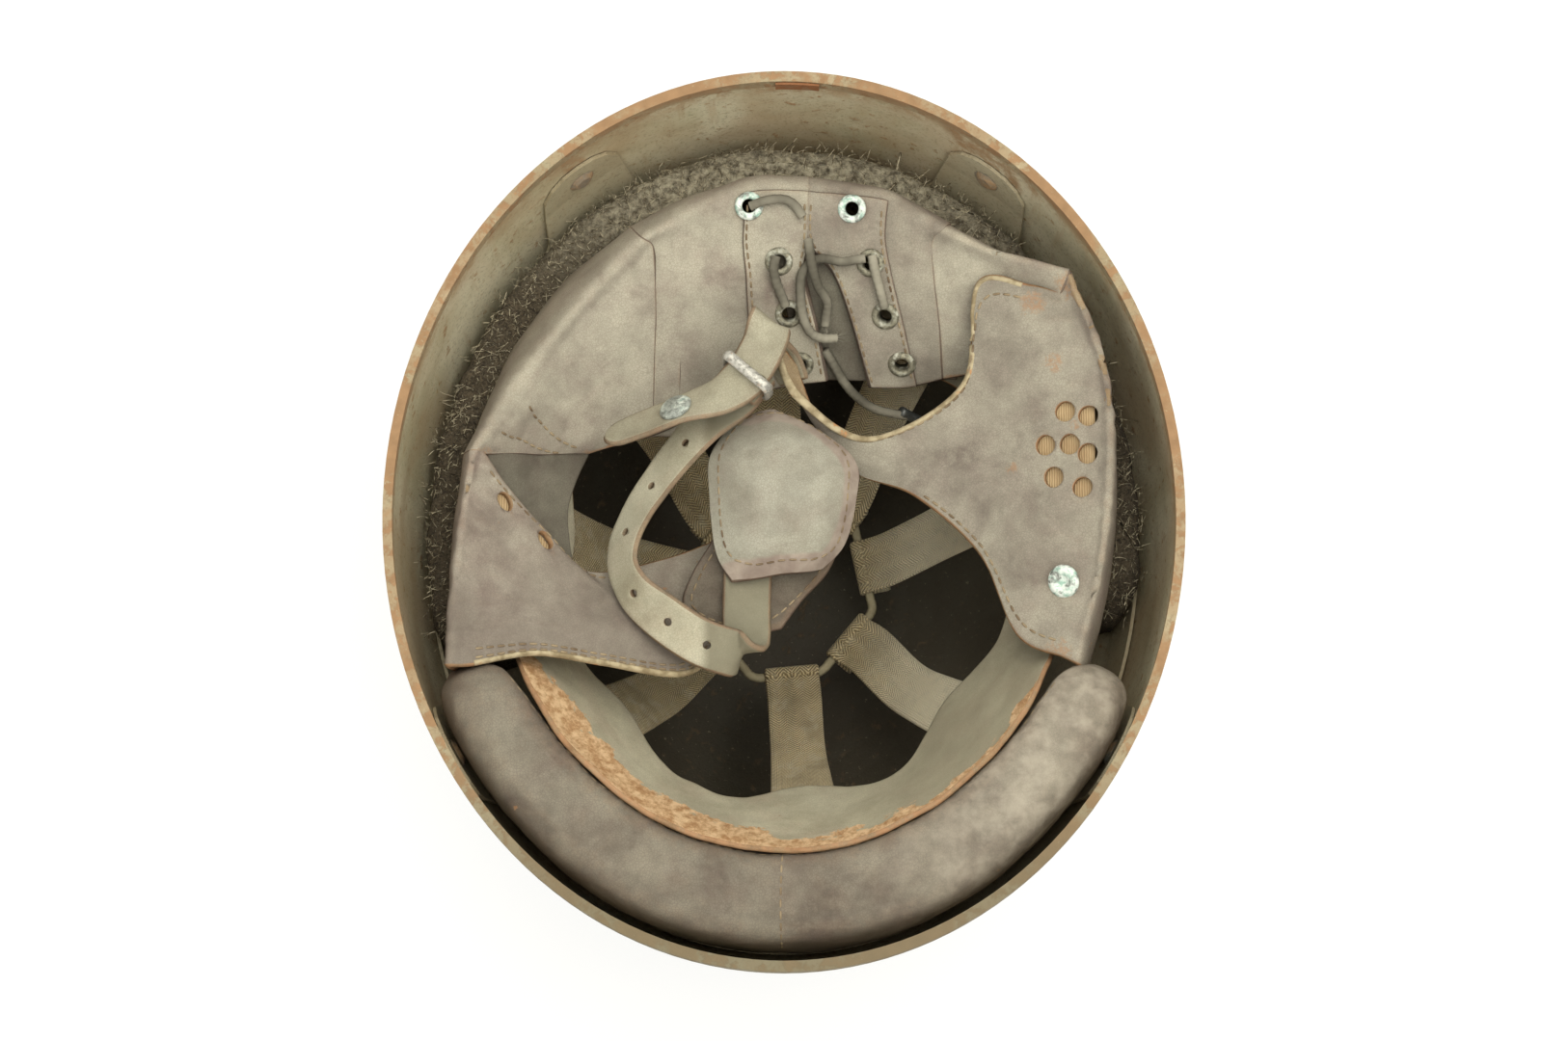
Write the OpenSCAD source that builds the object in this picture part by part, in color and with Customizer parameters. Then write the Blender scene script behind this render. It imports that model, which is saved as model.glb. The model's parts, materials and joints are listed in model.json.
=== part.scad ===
// Despatch rider helmet lying on its crown, seen from its open side.
// +Z points up out of the opening, +Y to the neck, -Y to the brow, +X to the wearer's left.
// Soft pieces are placed in percent of the half width, the half length and the depth below
// the rim, so that they follow the shell.

/* [Shell] */
// Length over the rim strip, brow to neck
helmet_length = 280; // [255:1:310]
// Width over the rim strip
helmet_width = 245; // [225:1:270]
// Height from the crown to the rim
helmet_depth = 165; // [150:1:185]
// Thickness of the pressed steel
shell_thickness = 1.2; // [0.8:0.1:2]
// Height of the upright wall next to the rim
rim_wall_height = 8; // [7:0.5:14]
// Width of the level spot on the crown that the helmet stands on
crown_level = 52; // [40:1:60]

/* [Rim strip] */
// Thickness of the folded steel strip
strip_thickness = 0.7; // [0.4:0.1:1]
// How far the strip reaches down each side of the rim
strip_height = 6; // [4:0.5:6.5]
// Running gap between the strip's legs and the shell
strip_gap = 0.15; // [0.1:0.05:0.3]
// Length of the clip that closes the strip at the back
clip_length = 16; // [10:1:30]
// Thickness of that clip
clip_thickness = 0.6; // [0.4:0.1:0.9]

/* [Liner band] */
// Depth of the band's upper edge below the rim
band_depth = 62; // [58:1:68]
// Height of the band
band_height = 16; // [12:1:20]
// Thickness of the band's steel
band_thickness = 1; // [0.6:0.1:1.6]
// Air gap between the band and the shell
band_gap = 1.4; // [0.8:0.1:2.5]
// Depth of the top of the four riveted tabs below the rim
tab_depth = 20; // [17:1:24]
// Width of a tab where it leaves the band
tab_width = 46; // [34:1:56]
// Gap between a tab and the shell that it is riveted to
tab_gap = 0.3; // [0.2:0.1:0.6]
// Directions of the four tabs round the helmet
tab_angles = [57, 123, 211, 329]; // [0:360]

/* [Rivets] */
// Diameter of a liner rivet's shank
rivet_diameter = 4; // [3:0.5:5]
// Diameter of its head
rivet_head = 9; // [7:0.5:11]
// Height of its head
rivet_head_height = 1.2; // [0.8:0.1:2]
// Depth of the rivets below the rim
rivet_depth = 31; // [29:1:34]
// Clearance round a shank, and under a head
rivet_clearance = 0.15; // [0.1:0.05:0.3]

/* [Buffer ring] */
// Depth of the felt ring's upper edge below the rim
buffer_depth = 44; // [42:1:50]
// Height of the felt ring
buffer_height = 48; // [34:1:52]
// Thickness of the felt at its upper edge
buffer_top = 17; // [13:1:18]
// Thickness of the felt at its lower edge
buffer_foot = 17; // [10:1:19]
// First direction that the felt covers, at the right temple
buffer_start = -12; // [-20:1:0]
// Last direction that the felt covers, at the left temple
buffer_end = 202; // [190:1:206]
// Gap between the felt and the band
buffer_gap = 0.4; // [0.3:0.1:1]

/* [Brow pad] */
// First direction of the stuffed roll, at the left temple
pad_start = 205; // [203:1:210]
// Last direction of the stuffed roll, at the right temple
pad_end = 335; // [328:1:336]
// Gap between the pad and the band that it leans on
pad_gap = 0.3; // [0.3:0.1:0.8]

/* [Leather] */
// Thickness of the sweatband
sweatband_thickness = 1.8; // [1.2:0.1:2.2]
// Thickness of the skirt, the ear flaps and the neck curtain
leather_thickness = 2; // [1.4:0.1:2.4]
// Thickness of the facings, linings and tongue
lining_thickness = 0.9; // [0.6:0.1:1.1]
// Gap between two layers sewn together
layer_gap = 0.3; // [0.2:0.05:0.5]
// Gap at the folds that the flaps and the curtain turn about
fold_gap = 0.7; // [0.5:0.05:0.9]
// Diameter of the hearing holes in the ear flaps
hearing_hole = 6.5; // [4:0.5:7]

/* [Crown tapes] */
// Width of a tape at the sweatband
tape_width = 23; // [16:1:26]
// Width of a tape where it is gathered on the cord
tape_gathered = 17; // [10:1:17]
// Thickness of a tape
tape_thickness = 1.2; // [0.8:0.1:1.5]
// Radius of the loop that the crown cord lies in
crown_cord_ring = 27; // [25:1:32]
// Diameter of the crown cord
crown_cord_diameter = 3; // [2:0.5:3.5]
// Depth of the crown cord below the rim
crown_cord_depth = 125; // [122:1:129]
// Gap between a tape and the cord or the sweatband
tape_gap = 0.35; // [0.3:0.05:0.5]

/* [Lacing] */
// Outside diameter of an eyelet's flange
eyelet_flange = 9; // [8:0.5:10.5]
// Outside diameter of an eyelet's barrel
eyelet_barrel = 6; // [6:0.25:7]
// Hole through an eyelet
eyelet_hole = 4.4; // [4:0.2:5]
// Thickness of an eyelet's flange
eyelet_thickness = 0.7; // [0.5:0.1:1]
// Clearance round an eyelet's barrel
eyelet_clearance = 0.15; // [0.1:0.05:0.3]
// Diameter of the lace
lace_diameter = 3; // [2:0.2:3.4]

/* [Chin strap] */
// Width of the holed strap
strap_width = 13.5; // [11:0.5:14]
// Thickness of the strap leather
strap_thickness = 2; // [1.4:0.1:2.2]
// Width of the tongue that passes through the buckle
tongue_width = 12.5; // [10:0.5:13]
// Diameter of the adjusting holes
strap_hole = 2.6; // [2:0.2:3.5]
// Length of the buckle's bars
buckle_width = 17; // [16:0.5:20]
// Distance between the buckle's two bars
buckle_height = 11; // [10:0.5:13]
// Thickness of the buckle's bars
buckle_bar = 2; // [1.4:0.1:2.4]
// Depth of the buckle's bars, along the tongue
buckle_depth = 3.6; // [2.5:0.1:4.5]
// Diameter of the press stud's cap on the tongue
tongue_stud = 11; // [9:0.5:12]
// Diameter of the press stud's cap on the ear flap
flap_stud = 10.5; // [9:0.5:12]
// Height of the press studs' caps
stud_height = 1.6; // [1:0.1:2.2]

/* [Hidden] */
half_w = helmet_width / 2;
half_l = helmet_length / 2;
stretch = half_l / half_w;
rim_z = helmet_depth;
shell_out = strip_thickness + strip_gap;
shell_in = shell_out + shell_thickness;
band_out = shell_in + band_gap;
band_in = band_out + band_thickness;
buffer_out = band_in + buffer_gap;
wall_steps = 18;
cut = 30;

// A place in percent of the half width, the half length and the depth below the rim
function place(p) = [p[0] / 100 * half_w, p[1] / 100 * half_l, rim_z - p[2] / 100 * helmet_depth];
function places(list) = [for (p = list) place(p)];
// A place at a percent radius, a direction and a percent depth
function polar(r, a, d) = place([r * cos(a), r * sin(a), d]);
function unit(v) = v / norm(v);
function mixed(a, b, t) = a * (1 - t) + b * t;
function clamp01(t) = min(1, max(0, t));
function smooth(t) = let (c = clamp01(t)) c * c * (3 - 2 * c);
function depth_percent(mm) = mm / helmet_depth * 100;

// Radius of the wall, before the plan is stretched to an oval, inset from the outside of the strip
function wall_r(depth, inset) =
    let (reach = helmet_depth - max(inset - shell_out, 0) - rim_wall_height,
        t = max(depth - rim_wall_height, 0) / reach)
    crown_level / 2 + (half_w - inset - crown_level / 2) * sqrt(max(1 - t * t, 0));
// The wall's profile from the rim down to the crown, inset by one thickness
function wall_profile(inset, top) =
    let (reach = helmet_depth - (inset - shell_out) - rim_wall_height, level = crown_level / 2)
    concat([[half_w - inset, top]],
        [for (i = [0:wall_steps]) let (a = 90 * i / wall_steps)
            [level + (half_w - inset - level) * cos(a), rim_z - rim_wall_height - reach * sin(a)]],
        [[0, rim_z - rim_wall_height - reach]]);
function reversed(list) = [for (i = [len(list) - 1:-1:0]) list[i]];
// A strip that follows the wall, from stations of depth, inset and thickness
function strip_profile(stations) = concat(
    [for (s = stations) [wall_r(s[0], s[1]), rim_z - s[0]]],
    [for (s = reversed(stations)) [wall_r(s[0], s[1] + s[2]), rim_z - s[0]]]);

// Curve through a list of points, s running from 0 to the last index
function along(p, s) =
    let (n = len(p) - 1, i = min(floor(s), n - 1), t = s - i,
        a = p[max(i - 1, 0)], b = p[i], c = p[i + 1], d = p[min(i + 2, n)])
    0.5 * (2 * b + (c - a) * t + (2 * a - 5 * b + 4 * c - d) * t * t
        + (3 * b - a - 3 * c + d) * t * t * t);
function around(p, s) =
    let (n = len(p), i = floor(s), t = s - i,
        a = p[(i - 1 + n) % n], b = p[i % n], c = p[(i + 1) % n], d = p[(i + 2) % n])
    0.5 * (2 * b + (c - a) * t + (2 * a - 5 * b + 4 * c - d) * t * t
        + (3 * b - a - 3 * c + d) * t * t * t);

// A sheet is a row of ribs; u runs across the ribs and v along them, both from 0 to 1
function sheet_point(ribs, u, v, ring = false) =
    let (row = [for (r = ribs) along(r, v * (len(r) - 1))])
    ring ? around(row, u * len(ribs)) : along(row, u * (len(ribs) - 1));
function sheet_normal(ribs, u, v, ring = false) =
    let (e = 0.004,
        u0 = ring ? u : max(u - e, 0), u1 = ring ? u + e : min(u + e, 1),
        v0 = max(v - e, 0), v1 = min(v + e, 1))
    unit(cross(sheet_point(ribs, u1, v, ring) - sheet_point(ribs, u0, v, ring),
        sheet_point(ribs, u, v1, ring) - sheet_point(ribs, u, v0, ring)));
function lifted(ribs, u, v, lift, ring = false) =
    sheet_point(ribs, u, v, ring) + sheet_normal(ribs, u, v, ring) * lift;

// Leather or cloth of one thickness over part of a sheet, its middle lifted off the ribs
module sheet(ribs, thickness, nu, nv, lift = 0, us = [0, 1], vs = [0, 1], ring = false) {
    rows = ring ? nu : nu + 1;
    m = nv + 1;
    total = rows * m;
    grid = [for (side = [1, -1]) for (i = [0:rows - 1]) for (j = [0:nv])
        lifted(ribs, mixed(us[0], us[1], i / nu), mixed(vs[0], vs[1], j / nv),
            lift + side * thickness / 2, ring)];
    function at(i, j, low) = (low ? total : 0) + (i % rows) * m + j;
    skin = [for (i = [0:nu - 1]) for (j = [0:nv - 1]) each [
        [at(i, j, false), at(i + 1, j + 1, false), at(i + 1, j, false)],
        [at(i, j, false), at(i, j + 1, false), at(i + 1, j + 1, false)],
        [at(i, j, true), at(i + 1, j, true), at(i + 1, j + 1, true)],
        [at(i, j, true), at(i + 1, j + 1, true), at(i, j + 1, true)]]];
    edges = [for (i = [0:nu - 1]) each [
        [at(i, 0, false), at(i + 1, 0, false), at(i + 1, 0, true)],
        [at(i, 0, false), at(i + 1, 0, true), at(i, 0, true)],
        [at(i + 1, nv, false), at(i, nv, false), at(i, nv, true)],
        [at(i + 1, nv, false), at(i, nv, true), at(i + 1, nv, true)]]];
    ends = [for (j = [0:nv - 1]) each [
        [at(0, j + 1, false), at(0, j, false), at(0, j, true)],
        [at(0, j + 1, false), at(0, j, true), at(0, j + 1, true)],
        [at(nu, j, false), at(nu, j + 1, false), at(nu, j + 1, true)],
        [at(nu, j, false), at(nu, j + 1, true), at(nu, j, true)]]];
    polyhedron(grid, ring ? concat(skin, edges) : concat(skin, edges, ends));
}

// A solid swept through rings of points that turn anticlockwise about its path
module sweep(rings) {
    m = len(rings[0]);
    last = len(rings) - 1;
    sides = [for (k = [0:last - 1]) for (j = [0:m - 1]) let (n = (j + 1) % m) each [
        [k * m + j, (k + 1) * m + j, (k + 1) * m + n],
        [k * m + j, (k + 1) * m + n, k * m + n]]];
    caps = [for (j = [1:m - 2]) each [[0, j, j + 1], [last * m, last * m + j + 1, last * m + j]]];
    polyhedron([for (r = rings) each r], concat(sides, caps));
}

// A flat strap along a path; sides gives the direction of its width, widths its width
module ribbon(path, sides, widths, thickness, steps) {
    n = len(path) - 1;
    function heading(s) = unit(along(path, min(s + 0.05, n)) - along(path, max(s - 0.05, 0)));
    rings = [for (i = [0:steps]) let (s = n * i / steps, c = along(path, s), t = heading(s),
        w = along(sides, s), f = unit(w - t * (w * t)), h = cross(t, f),
        a = f * along(widths, s) / 2, b = h * thickness / 2)
        [c + a - b, c + a + b, c - a + b, c - a - b]];
    sweep(rings);
}

// A round cord along a path
module tube(path, diameter, steps, up = [0, 0, 1]) {
    n = len(path) - 1;
    corners = 8;
    function heading(s) = unit(along(path, min(s + 0.05, n)) - along(path, max(s - 0.05, 0)));
    rings = [for (i = [0:steps]) let (s = n * i / steps, c = along(path, s), t = heading(s),
        a = unit(cross(up, t)), b = cross(t, a))
        [for (j = [0:corners - 1])
            c + (a * cos(360 * j / corners) + b * sin(360 * j / corners)) * diameter / 2]];
    sweep(rings);
}

// A closed level ring of round cord
module hoop(points, diameter) {
    m = 8;
    n = len(points);
    grid = [for (k = [0:n - 1])
        let (t = unit(points[(k + 1) % n] - points[(k + n - 1) % n]), out = cross(t, [0, 0, 1]))
        for (j = [0:m - 1])
            points[k] + (out * cos(360 * j / m) + [0, 0, 1] * sin(360 * j / m)) * diameter / 2];
    polyhedron(grid, [for (k = [0:n - 1]) for (j = [0:m - 1])
        let (a = k * m, b = (k + 1) % n * m, c = (j + 1) % m) each [
            [a + j, b + c, b + j], [a + j, a + c, b + c]]]);
}

// Turn a piece so that its +Z points along a direction
module aimed(at, direction) {
    translate(at)
        rotate([0, acos(direction[2]), atan2(direction[1], direction[0])])
            children();
}

// Stretch a round plan to the helmet's oval
module oval() {
    scale([1, stretch, 1]) children();
}

// A ring turned in equal arcs, each stretched to the oval on its own
module oval_ring(start = 0, turn = 360, arcs = 4) {
    for (k = [0:arcs - 1])
        oval() rotate([0, 0, start + turn * k / arcs])
            rotate_extrude(angle = turn / arcs, $fn = 128) children();
}

// Middle of a rivet on the wall's inside, and the wall's outward direction there
function rivet_place(a) =
    let (r = wall_r(rivet_depth, shell_in))
    [r * cos(a), r * sin(a) * stretch, rim_z - rivet_depth];
function rivet_direction(a) =
    let (p = rivet_place(a), reach = helmet_depth - shell_thickness - rim_wall_height,
        r = wall_r(rivet_depth, shell_in), level = crown_level / 2,
        lean = (r - level) / pow(half_w - shell_in - level, 2) / r)
    unit([p[0] * lean, p[1] / pow(stretch, 2) * lean,
        (p[2] - rim_z + rim_wall_height) / pow(reach, 2)]);

module shell() {
    color([0.36, 0.34, 0.26])
        difference() {
            oval_ring()
                polygon(concat(wall_profile(shell_out, rim_z - strip_thickness),
                    reversed(wall_profile(shell_in, rim_z - strip_thickness))));
            for (a = tab_angles)
                aimed(rivet_place(a), rivet_direction(a))
                    cylinder(h = cut, d = rivet_diameter + 2 * rivet_clearance, center = true, $fn = 24);
        }
}

module rim_strip() {
    low = rim_z - strip_height;
    web = rim_z - strip_thickness;
    color([0.58, 0.38, 0.24])
        oval_ring()
            polygon([[half_w, low], [half_w, rim_z],
                [half_w - shell_in - strip_gap - strip_thickness, rim_z],
                [half_w - shell_in - strip_gap - strip_thickness, low],
                [half_w - shell_in - strip_gap, low],
                [half_w - shell_in - strip_gap, web],
                [half_w - shell_out + strip_gap, web],
                [half_w - shell_out + strip_gap, low]]);
}

module rim_clip() {
    turn = clip_length / half_l / PI * 180;
    inside = half_w - shell_in - strip_gap - strip_thickness;
    color([0.5, 0.36, 0.24])
        oval() rotate([0, 0, 88 - turn / 2]) rotate_extrude(angle = turn, $fn = 128)
            polygon([[inside - strip_gap, rim_z - strip_height],
                [inside - strip_gap - clip_thickness, rim_z - strip_height],
                [inside - strip_gap - clip_thickness, rim_z - strip_thickness],
                [inside - strip_gap, rim_z - strip_thickness]]);
}

module tab_outline() {
    top = rim_z - tab_depth;
    foot = rim_z - band_depth - band_height / 4;
    shoulder = tab_width * 0.3;
    polygon([[-tab_width / 2, foot], [tab_width / 2, foot], [tab_width * 0.36, foot + 12],
        [shoulder, top - 9], [shoulder * 0.75, top - 3.5], [shoulder * 0.4, top - 0.8], [0, top],
        [-shoulder * 0.4, top - 0.8], [-shoulder * 0.75, top - 3.5], [-shoulder, top - 9],
        [-tab_width * 0.36, foot + 12]]);
}

module liner_band() {
    tab_in = shell_in + tab_gap;
    color([0.4, 0.36, 0.27])
        difference() {
            union() {
                oval_ring()
                    polygon(strip_profile([[band_depth, band_out, band_thickness],
                        [band_depth + band_height / 2, band_out, band_thickness],
                        [band_depth + band_height, band_out, band_thickness]]));
                for (a = tab_angles)
                    oval() intersection() {
                        rotate([0, 0, a - 20]) rotate_extrude(angle = 40, $fn = 128)
                            polygon(strip_profile([[tab_depth, tab_in, band_thickness],
                                [tab_depth + 9, tab_in, band_thickness],
                                [tab_depth + 18, tab_in, band_thickness],
                                [band_depth, band_out, band_thickness],
                                [band_depth + band_height / 3, band_out, band_thickness]]));
                        rotate([0, 0, a]) rotate([90, 0, 90])
                            linear_extrude(half_w) tab_outline();
                    }
            }
            for (a = tab_angles)
                aimed(rivet_place(a), rivet_direction(a))
                    cylinder(h = cut, d = rivet_diameter + 2 * rivet_clearance, center = true, $fn = 24);
        }
}

module liner_rivets() {
    inner = (tab_gap + band_thickness) * stretch + rivet_clearance;
    outer = shell_thickness * stretch + rivet_clearance;
    color([0.42, 0.45, 0.47])
        for (a = tab_angles)
            aimed(rivet_place(a), rivet_direction(a)) {
                translate([0, 0, -inner - rivet_head_height])
                    cylinder(h = rivet_head_height, d1 = rivet_head * 0.6, d2 = rivet_head, $fn = 32);
                translate([0, 0, -inner])
                    cylinder(h = inner + outer, d = rivet_diameter, $fn = 24);
                translate([0, 0, outer])
                    cylinder(h = rivet_head_height / 2, d = rivet_head, $fn = 32);
            }
}

module buffer_ring() {
    color([0.24, 0.21, 0.18])
        union() oval_ring(buffer_start, buffer_end - buffer_start, 3)
            polygon(strip_profile([[buffer_depth, buffer_out, buffer_top],
                [buffer_depth + buffer_height * 0.2, buffer_out, buffer_top + 2],
                [buffer_depth + buffer_height * 0.6, buffer_out, mixed(buffer_top, buffer_foot, 0.7)],
                [buffer_depth + buffer_height, buffer_out, buffer_foot]]));
}

// Stuffed roll: its section in percent, across the roll and below the rim
pad_section = [[-10, 9], [-7, 5], [-2, 3], [4, 3.2], [8.5, 6], [9.8, 12], [9.6, 20], [8.8, 30],
    [6, 40], [2.5, 43], [-1.5, 40], [-6, 28], [-9, 18]];
pad_heart = 20;
pad_ring = (wall_r(0.4 * helmet_depth, band_in) - pad_gap) / half_w * 100 - 6.2;
function pad_fullness(t) = max(pow(1 - pow(abs(2 * t - 1), 7), 0.4), 0.3);
module brow_pad() {
    stations = 36;
    color([0.38, 0.33, 0.32])
        sweep([for (k = [0:stations]) let (t = k / stations, a = mixed(pad_start, pad_end, t),
            full = pad_fullness(t), ring = pad_ring + 3 * pow(abs(2 * t - 1), 6))
            [for (s = pad_section)
                polar(ring + s[0] * full, a, pad_heart + (s[1] - pad_heart) * full)]]);
}

// Sweatband: upper edge high at the brow and low round the sides, lower edge in eight scallops
tape_angles = [275, 320, 12, 55, 94, 135, 177, 221];
function side_share(a) = smooth((sin(a) + 0.57) / 0.34);
sweat_top = pad_ring - 10 - (sweatband_thickness / 2 + pad_gap) / half_w * 100;
function scallop(a) = pow(cos(180 * min([for (t = tape_angles)
    abs((a - t + 540) % 360 - 180)]) / 45), 2);
function sweat_rib(a) = let (side = side_share(a), tip = scallop(a))
    [polar(sweat_top, a, 5.5 + 20 * side),
        polar(mixed(sweat_top, 62, 0.45), a, 17 + 13 * side),
        polar(60 - 5 * tip, a, 34 + 5 * tip)];
sweat_ribs = [for (k = [0:31]) sweat_rib(360 * k / 32)];
module sweatband() {
    color([0.42, 0.39, 0.36])
        sheet(reversed(sweat_ribs), sweatband_thickness, 64, 8, ring = true);
}

// Crown tape: from behind the sweatband's scallop down to the cord, round it and back
loop_radius = crown_cord_diameter / 2 + tape_gap + tape_thickness / 2;
function cord_ring_at(a) = crown_cord_ring * (1 + (stretch - 1) * pow(sin(a), 2));
tape_seat = sweatband_thickness / 2 + 1.8 * tape_gap + tape_thickness / 2;
function tape_path(a) =
    let (out = [cos(a), sin(a), 0], up = [0, 0, 1],
        rib = sweat_rib(a), run = unit(along(rib, 2) - along(rib, 1.7)),
        below = cross(run, [-sin(a), cos(a), 0]),
        cord = out * cord_ring_at(a) + up * (rim_z - crown_cord_depth))
    concat([for (s = [1.66, 1.8, 1.95]) along(rib, s) + below * tape_seat],
        [polar(51, a, 49), polar(42, a, 61),
            cord + out * loop_radius * 3.6 + up * loop_radius * 3],
        [for (b = [40, 0, -50, -100, -150]) cord + (out * sin(b) + up * cos(b)) * loop_radius],
        [cord + out * 7 - up * loop_radius]);
module crown_tape(i) {
    a = tape_angles[i];
    side = [-sin(a), cos(a), 0];
    path = tape_path(a);
    color([0.5, 0.45, 0.33])
        ribbon(path, [for (p = path) side],
            [for (k = [0:len(path) - 1]) mixed(tape_width, tape_gathered, clamp01(k / 4))],
            tape_thickness, 30);
}

// The cord runs straight under each tape and bends between them
function cord_reach(a) = min([for (t = tape_angles)
    if (cos(a - t) > 0.5) cord_ring_at(t) / cos(a - t)]);
module crown_cord() {
    color([0.48, 0.42, 0.31])
        translate([0, 0, rim_z - crown_cord_depth])
            hoop([for (k = [0:71]) cord_reach(5 * k) * [cos(5 * k), sin(5 * k), 0]],
                crown_cord_diameter);
}

// Ear flaps: ribs run from the fold beside the shell to the end under the chin cup,
// the first rib along the lower edge and the last along the upper edge
left_flap_places = [
    [[-78, -32, 7.5], [-62, -29, 11], [-45, -30, 18], [-25, -31, 25], [-15, -21, 29], [-6, -8, 31]],
    [[-78, -18, 7], [-62, -20, 12], [-46, -22, 19], [-30, -23, 26], [-19, -15, 30], [-8, -4, 32]],
    [[-78, -3, 7.5], [-65, -9, 13], [-50, -14, 20.5], [-35, -16, 27], [-22, -9, 30.5], [-9, 0, 32.5]],
    [[-78, 14.5, 9], [-71, 9, 13.5], [-62.5, 1, 18.5], [-51, -8, 24.5], [-30, -4, 31], [-10, 4, 33]]];
right_flap_places = [
    [[70, -29.5, 10.8], [59, -24, 14], [50, -5, 18], [34, 9, 22], [19, 15, 25], [9, 24, 21], [3, 37, 16]],
    [[77, -10, 8], [65, -4, 12], [52, 5, 17], [36, 13, 21], [19, 17, 23.5], [7.5, 26, 20], [1.5, 38.5, 15]],
    [[79, 12, 7.4], [67, 14, 11], [54, 16, 16], [38, 17, 20.5], [19, 19, 22.5], [6, 28, 18.5],
        [0, 40, 14.2]],
    [[78.5, 34, 7.4], [67, 34, 10], [56, 30, 14.5], [41, 22, 19.5], [20, 20.5, 21.5], [5, 29, 17.5],
        [-1.5, 41, 13.5]],
    [[74, 53.2, 8.4], [63, 53.6, 10.5], [49.8, 55.2, 13.3], [46, 33, 17], [22, 21.5, 21], [4, 30, 16.5],
        [-3, 42.5, 12.8]]];
left_flap_ribs = [for (r = left_flap_places) places(r)];
right_flap_ribs = [for (r = right_flap_places) places(r)];

// Neck curtain: ribs run from the fold at the back to the hem over the head opening
left_panel_places = [
    [[-33, 65.3, 14.5], [-33, 53, 16], [-33.5, 39, 21], [-34, 24.5, 28]],
    [[-24, 66, 15], [-24, 55, 16.5], [-24, 43, 21.5], [-24, 28.5, 28.5]],
    [[-14, 66, 15.3], [-14, 57, 17], [-14, 46, 22], [-13.5, 33, 28.8]],
    [[-6, 66, 15.5], [-5, 58, 17.5], [-3, 47.5, 22], [0, 36, 28.8]],
    [[2.5, 66, 15.5], [5, 59, 17.5], [8, 48.5, 22], [11, 37.5, 28.8]]];
right_panel_places = [
    [[9.5, 66, 15.5], [13, 59, 17.5], [18, 48.5, 22], [22.5, 36, 29]],
    [[18, 66, 15.5], [21, 58, 17.5], [25, 48, 22], [29, 36, 29.3]],
    [[27, 66, 15.3], [29, 57, 17.2], [32, 47, 21.8], [35, 36.5, 29]],
    [[37, 66, 14.8], [38.5, 57, 16.8], [40, 47.5, 21], [41, 37.5, 27.5]]];
left_panel_ribs = [for (r = left_panel_places) places(r)];
right_panel_ribs = [for (r = right_panel_places) places(r)];

// Gussets: the parts of the skirt that stay beside the curtain
left_gusset_places = [
    [[-75.4, 16.6, 10], [-69.5, 17, 14.5], [-61, 18.2, 20.5], [-50.5, 20.3, 26.5]],
    [[-65.6, 27.2, 11.8], [-61.6, 26, 15.3], [-55, 24.5, 20.5], [-46, 21.5, 27]],
    [[-58, 39.4, 12.5], [-54, 35, 15.8], [-48.5, 30, 20.5], [-42, 22.5, 27.5]],
    [[-47.8, 50, 13.5], [-45.5, 43, 16], [-42.8, 34.5, 20.5], [-38.5, 23.4, 27.8]],
    [[-35, 62, 14.3], [-34.6, 51.5, 16], [-34.8, 38.5, 20.8], [-35.4, 24.3, 28]]];
right_gusset_places = [
    [[39.2, 64.6, 14], [40.6, 56, 16.5], [42, 47, 20.8], [43.2, 37.7, 26.8]],
    [[49, 60.8, 13], [50, 53.5, 16], [51, 46, 20.5], [52, 38.5, 25.4]],
    [[59, 56.5, 12.6], [60, 50, 16.5], [60.5, 44, 20.5], [61, 38, 23.8]],
    [[67.5, 51.5, 13.2], [68, 46, 17], [68, 41, 19.5], [67.5, 36, 22.5]]];
// The left gusset's end, tucked down under the ear flap
tucked_places = [
    [[-70, -6, 20.5], [-63, -8.5, 25], [-58, -9.5, 28.3], [-54, -10, 31]],
    [[-75.3, 8.6, 14.6], [-68.5, 6.5, 20], [-62, 5.5, 24.3], [-56, 7, 28.6]]];
left_gusset_ribs = [for (r = concat(tucked_places, left_gusset_places)) places(r)];
right_gusset_ribs = [for (r = right_gusset_places) places(r)];

// Crest of the skirt above each fold, in the order of the folds from the left temple
// round the neck to the right temple
crest_places = [[-84, -32.5, 6], [-83.2, -18, 5.8], [-81.6, -3, 6.6], [-80, 13, 7.8],
    [-77.6, 17.8, 8.6], [-69.6, 30, 10], [-60.6, 41.4, 11], [-50.4, 52.8, 12], [-40, 62.8, 12.4],
    [-33.8, 68.2, 12.7], [-25, 71.6, 12.9], [-14, 75.6, 13], [-6, 77.8, 13], [3, 78, 13.4],
    [9.5, 77.2, 13.4], [18, 76.4, 13], [28, 74.6, 13], [37.5, 69.8, 12.6], [45, 65.4, 11.8],
    [52, 62.6, 11], [61, 59.8, 10], [69, 57.6, 9.2], [76, 55.6, 8], [81, 34, 6.4], [82.4, 12, 6.2],
    [79.8, -10, 7.4], [74, -31.5, 10.6]];
function heads(places) = [for (r = places) r[0]];
fold_places = concat(heads(left_flap_places), heads(left_gusset_places), heads(left_panel_places),
    heads(right_panel_places), heads(right_gusset_places), reversed(heads(right_flap_places)));
seam_radius = (wall_r(buffer_depth, buffer_out + buffer_top) + leather_thickness * 1.2) / half_w * 100;
seam_depth = depth_percent(buffer_depth - layer_gap);
function seam_place(c) = let (s = seam_radius / norm([c[0], c[1]])) [c[0] * s, c[1] * s, seam_depth];
skirt_ribs = [for (i = [0:len(crest_places) - 1])
    let (seam = place(seam_place(crest_places[i])), crest = place(crest_places[i]),
        fold = place(fold_places[i]), back = unit(crest - fold) * fold_gap)
    [seam, mixed(seam, crest, 0.5) + [crest[0], crest[1], 0] * 0.02, crest, fold + back]];
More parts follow.
